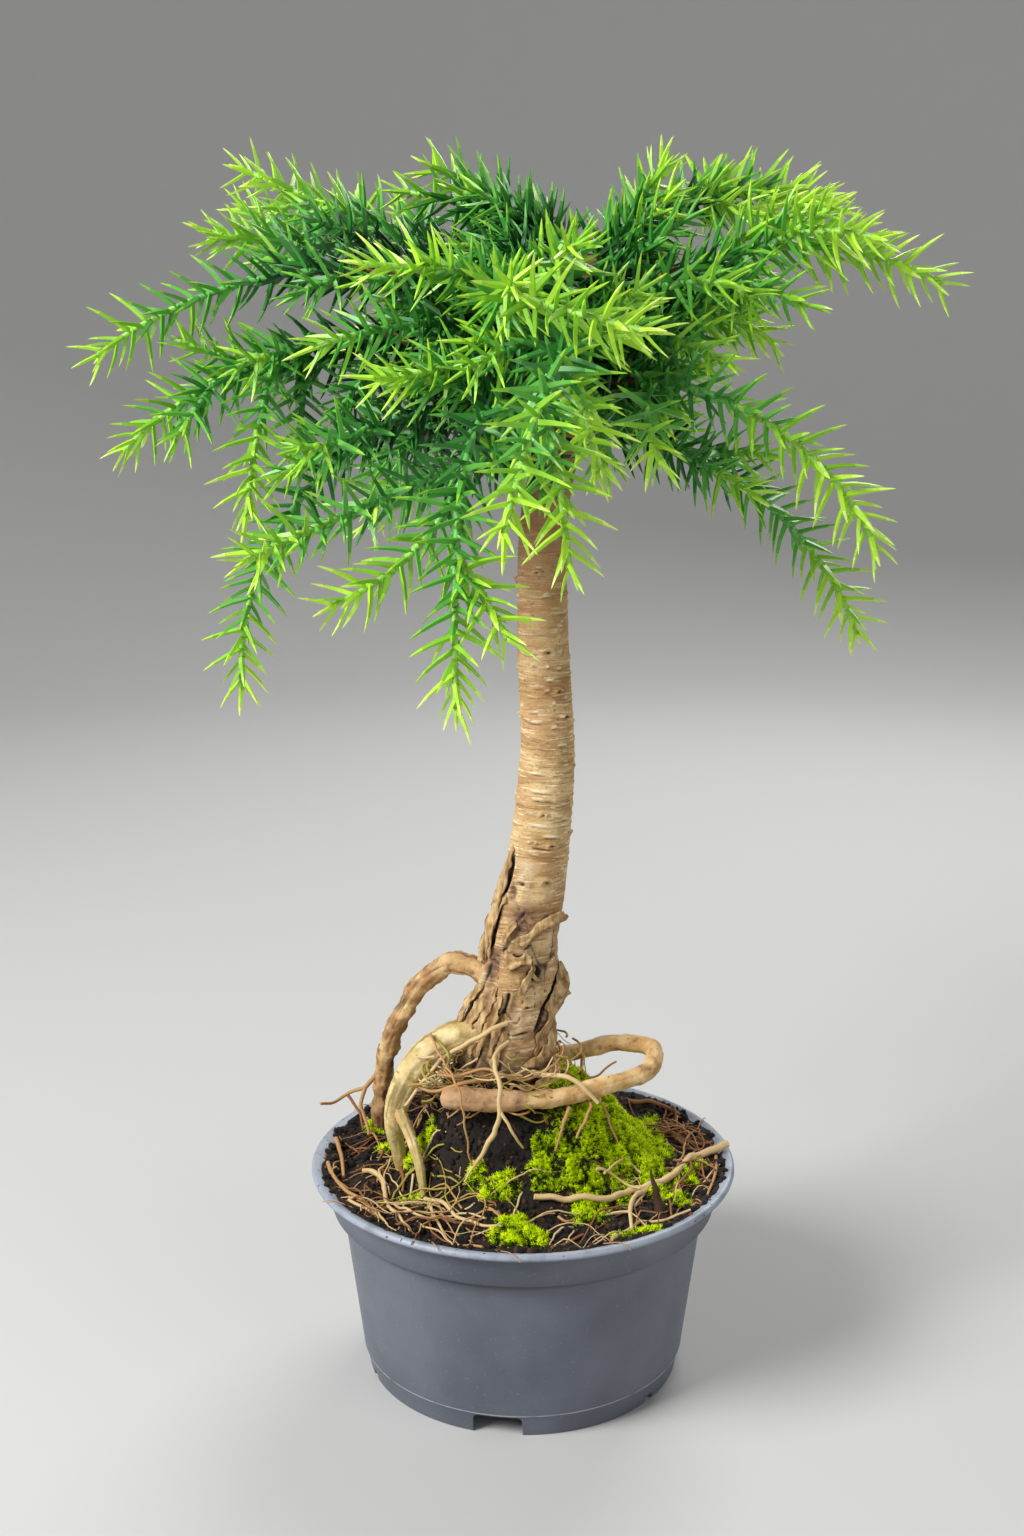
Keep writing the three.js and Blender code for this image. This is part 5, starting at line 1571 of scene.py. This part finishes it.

# %% [markdown]
# ## Stems and needles
# Hoop pine needles are stiff, flattened and pointed. They stand round the stem in a spiral, lean forward,
# curve in a little, and grow shorter toward the tip, where they close up into a tuft.
# A third tree walks along each shoot, turns by the golden angle at every needle, and puts one of three
# needle shapes there. Young growth is yellow-green and old growth is deep green. Deep in the crown, on the
# side twigs and on the shoots round the trunk's top, the tints are darker still, a painted shade, and some
# limbs are painted darker as shade and some lighter as light. Each tint is a plain colour and a piece of its
# own, dealt out spray by spray, and a needle's outer part is one tint lighter.

# %% Tints along the shoots
# A needle's tint holds its age and the painted shade and light of the crown, so the dark tints also go on
# shaded needles and the light ones on lit needles.
TINTS = {  # from the oldest growth to the youngest, and last the outer part of the youngest
    "deep": "#0d3012", "dark": "#1a521c", "mid": "#388632", "fresh": "#62b042", "bright": "#90cb36",
    "tip": "#b6e63e", "point": "#d6f86e",
}
AGE_STEPS = ([0, 12, 30, 60, 110], [5.3, 4.5, 3.5, 2.6, 1.6])  # distance from the tip, and the tint there
SPRAY = {"length": 15.0, "uneven": 0.5}  # length of shoot that shares a tint, and how far that strays
CROWN_SHADE = {"middle": (4, 26, 395), "reach": 104, "darker": 2.5}  # where the crown shades itself most
CLOSING = {"length": 20.0, "power": 1.5}  # how the needles at a shoot's tip close up
LEAST_POINTS = 3  # points of a shoot that always bear needles
walked, growth = [], {"radius": [], "closing": [], "tint": []}
for path, first, last, bare, shade in shoots:
    length = SHOOT_STEP * (len(path) - 1)
    share = np.linspace(0, 1, len(path))
    to_tip = (1 - share) * length
    spray_count = int(length / SPRAY["length"]) + 2
    sprays = [draw.uniform(-SPRAY["uneven"], SPRAY["uneven"]) for _ in range(spray_count)]
    dealt_and_shaded = np.array([sprays[int(s * length / SPRAY["length"])] for s in share])
    depth = np.linalg.norm(path - CROWN_SHADE["middle"], axis=1) / CROWN_SHADE["reach"]
    dealt_and_shaded -= CROWN_SHADE["darker"] * np.clip(1 - depth, 0, 1)
    closed_up = np.clip(1 - to_tip / CLOSING["length"], 0, 1) ** CLOSING["power"]
    start = min(len(path) - LEAST_POINTS, round(bare / length * (len(path) - 1)))
    walked.append(path[start:])
    growth["radius"].append(np.linspace(first, last, len(path))[start:] * MM)
    growth["closing"].append(closed_up[start:])
    growth["tint"].append((np.interp(to_tip, *AGE_STEPS) - shade + dealt_and_shaded)[start:])
print(sum(len(path) for path in walked), "points along the shoots")

# %% Stems
STEM_SIDES = 7
# A stem takes its colour from the same tints, so the old colour also goes on stems in painted shade and the
# young colour on stems in painted light.
STEM_TINT_RANGES = {  # tints from and to, and colour
    "old": (-9, 1.6, "#2f7538"), "grown": (1.6, 3.2, "#66b058"), "young": (3.2, 9, "#9aca58"),
}
foliage_nodes = sorted(name for name in frame["nodes"] if name.startswith("foliage_"))
for stem_tint, (least, most, colour) in STEM_TINT_RANGES.items():
    stretches, radii = [], []
    for path, radius, tint in zip(walked, growth["radius"], growth["tint"]):
        inside = np.flatnonzero((tint >= least) & (tint < most))
        for run in np.split(inside, np.flatnonzero(np.diff(inside) > 1) + 1):
            if len(run) and run[0] < len(path) - 1:  # a lone last point makes no tube
                stretch = slice(run[0], run[-1] + 2)
                stretches.append(path[stretch])
                radii.append(radius[stretch])
    source = path_object("stem_paths", stretches, {"radius": radii})
    stems = grown(f"stems_{stem_tint}", source, tubes, {
        "Sides": STEM_SIDES, "Material": plain(f"green_stem_{stem_tint}", colour, 0.5),
    })
    keep(stems, "needles", *foliage_nodes)

# %% Needle shapes
NEEDLE = {"length": 16.8, "width": 2.5, "thickness": 1.9, "outer": 0.55}
NEEDLE_ROWS = [  # share of the length, and of the width and thickness there
    (0, 1.15), (0.12, 1.0), (0.4, 0.88), (0.7, 0.64), (0.92, 0.28),
]
NEEDLE_BENDS = [(2.4, 0.4), (3.5, -0.6), (1.4, 0.2)]  # curve toward the shoot's tip, and sideways


def needle_mesh(bend, sway):
    """A pointed needle along Y with a diamond section, curving up toward Z."""
    vertices = []
    for share, full in NEEDLE_ROWS:
        middle = np.array([sway * share**2, NEEDLE["length"] * share, bend * share**2])
        wide, thick = NEEDLE["width"] / 2 * full, NEEDLE["thickness"] / 2 * full
        corners = ((wide, 0, 0), (0, 0, -thick), (-wide, 0, 0), (0, 0, thick))
        vertices += [middle + corner for corner in corners]
    tip = len(vertices)
    vertices.append(np.array([sway, NEEDLE["length"], bend]))
    ends = [[tip - 4 + i, tip - 4 + (i + 1) % 4, tip] for i in range(4)]
    return np.array(vertices), ring_faces(len(NEEDLE_ROWS), 4) + [[3, 2, 1, 0]] + ends


needle_shapes = shape_collection("needle", [needle_mesh(*bends) for bends in NEEDLE_BENDS])
for shape in needle_shapes.objects:
    mesh = shape.data
    pairs = np.zeros(len(mesh.edges) * 2, int)
    mesh.edges.foreach_get("vertices", pairs)
    keels = np.ptp(pairs.reshape(-1, 2) // 4, axis=1) > 0
    mesh.attributes.new("sharp_edge", "BOOLEAN", "EDGE").data.foreach_set("value", keels)
    outer = [face.center.y > NEEDLE["outer"] * NEEDLE["length"] * MM for face in mesh.polygons]
    mesh.attributes.new("outer", "BOOLEAN", "FACE").data.foreach_set("value", outer)
print("needle of", len(mesh.polygons), "faces")

# %% Needle tree
UNEVEN = {"lean": 0.16, "size": 0.12, "tint": 0.4}  # how far single needles stray from the rule
needles, given = new_tree("needles_on_shoots", {
    "Spacing": "Float", "Turn": "Float", "Lean": "Float", "Tip Lean": "Float", "Size": "Float",
    "Tip Size": "Float", "Tint": "Int", "Youngest": "Float", "Seed": "Int", "Shapes": "Collection",
    "Material": "Material", "Outer Material": "Material",
})
curves = add(needles, "GeometryNodeMeshToCurve", {}, {"Mesh": given["Geometry"]})
walk = add(needles, "GeometryNodeCurveToPoints", {"mode": "LENGTH"}, {
    "Curve": curves, "Length": given["Spacing"],
})
tangent, normal = walk.outputs["Tangent"], walk.outputs["Normal"]
uneven = add(needles, "FunctionNodeRandomValue", {"data_type": "FLOAT"}, {
    "Min": -1.0, "Max": 1.0, "Seed": given["Seed"],
})
count = add(needles, "GeometryNodeInputIndex")
turn = add(needles, "ShaderNodeMath", {"operation": "MULTIPLY"}, {0: count, 1: given["Turn"]})
spin = add(needles, "FunctionNodeAxisAngleToRotation", {}, {"Axis": tangent, "Angle": turn})
outward = add(needles, "FunctionNodeRotateVector", {}, {"Vector": normal, "Rotation": spin})
closing = add(needles, "GeometryNodeInputNamedAttribute", {"data_type": "FLOAT"}, {"Name": "closing"})
even_lean = add(needles, "ShaderNodeMapRange", {}, {
    "Value": closing, "To Min": given["Lean"], "To Max": given["Tip Lean"],
})
lean = add(needles, "ShaderNodeMath", {"operation": "MULTIPLY_ADD"}, {
    0: uneven, 1: UNEVEN["lean"], 2: even_lean,
})
ahead = add(needles, "ShaderNodeMath", {"operation": "COSINE"}, {0: lean})
aside = add(needles, "ShaderNodeMath", {"operation": "SINE"}, {0: lean})
forward = add(needles, "ShaderNodeVectorMath", {"operation": "SCALE"}, {0: tangent, "Scale": ahead})
sideward = add(needles, "ShaderNodeVectorMath", {"operation": "SCALE"}, {0: outward, "Scale": aside})
way = add(needles, "ShaderNodeVectorMath", {"operation": "ADD"}, {0: forward, 1: sideward})
rotation = add(needles, "FunctionNodeAxesToRotation", {"primary_axis": "Y", "secondary_axis": "Z"}, {
    "Primary Axis": way, "Secondary Axis": tangent,
})
even_size = add(needles, "ShaderNodeMapRange", {}, {
    "Value": closing, "To Min": given["Size"], "To Max": given["Tip Size"],
})
size = add(needles, "ShaderNodeMath", {"operation": "MULTIPLY_ADD"}, {
    0: uneven, 1: UNEVEN["size"], 2: even_size,
})
age_and_shade = add(needles, "GeometryNodeInputNamedAttribute", {"data_type": "FLOAT"}, {"Name": "tint"})
mottled = add(needles, "ShaderNodeMath", {"operation": "MULTIPLY_ADD"}, {
    0: uneven, 1: UNEVEN["tint"], 2: age_and_shade,
})
held = add(needles, "ShaderNodeMapRange", {}, {
    "Value": mottled, "From Max": given["Youngest"], "To Max": given["Youngest"],
})
dealt_and_shaded = add(needles, "ShaderNodeMath", {"operation": "ROUND"}, {0: held})
chosen = add(needles, "FunctionNodeCompare", {"data_type": "FLOAT", "operation": "EQUAL"}, {
    "A": dealt_and_shaded, "B": given["Tint"], "Epsilon": 0.1,
})
shapes = add(needles, "GeometryNodeCollectionInfo", {}, {
    "Collection": given["Shapes"], "Separate Children": True, "Reset Children": True,
})
picks = add(needles, "FunctionNodeRandomValue", {"data_type": "INT"}, {
    "Min": 0, "Max": len(NEEDLE_BENDS) - 1, "Seed": given["Seed"],
})
copies = add(needles, "GeometryNodeInstanceOnPoints", {}, {
    "Points": walk, "Selection": chosen, "Instance": shapes, "Pick Instance": True, "Instance Index": picks,
    "Rotation": rotation, "Scale": size,
})
real = add(needles, "GeometryNodeRealizeInstances", {}, {"Geometry": copies})
painted = add(needles, "GeometryNodeSetMaterial", {}, {"Geometry": real, "Material": given["Material"]})
is_outer = add(needles, "GeometryNodeInputNamedAttribute", {"data_type": "BOOLEAN"}, {"Name": "outer"})
two_toned = add(needles, "GeometryNodeSetMaterial", {}, {
    "Geometry": painted, "Selection": is_outer, "Material": given["Outer Material"],
})
add(needles, "NodeGroupOutput", {}, {"Geometry": two_toned})
print("needle tree with", len(needles.nodes), "nodes")

# %% Needle pieces
NEEDLE_GROWTH = {"spacing": 1.45, "lean": 66, "tip_lean": 38, "size": 1.0, "tip_size": 0.68, "seed": 5}
leaf_finishes = [plain(f"needle_{name}", colour, 0.4, IOR=1.45) for name, colour in TINTS.items()]
for number, name in enumerate(list(TINTS)[:-1]):
    source = path_object("shoot_paths", walked, growth)
    foliage = grown(f"needles_{name}", source, needles, {
        "Spacing": NEEDLE_GROWTH["spacing"] * MM, "Turn": math.radians(GOLDEN_TURN),
        "Lean": math.radians(NEEDLE_GROWTH["lean"]), "Tip Lean": math.radians(NEEDLE_GROWTH["tip_lean"]),
        "Size": NEEDLE_GROWTH["size"], "Tip Size": NEEDLE_GROWTH["tip_size"], "Tint": number,
        "Youngest": len(TINTS) - 2.0, "Seed": NEEDLE_GROWTH["seed"], "Shapes": needle_shapes,
        "Material": leaf_finishes[number], "Outer Material": leaf_finishes[number + 1],
    })
    keep(foliage, "needles", *foliage_nodes)
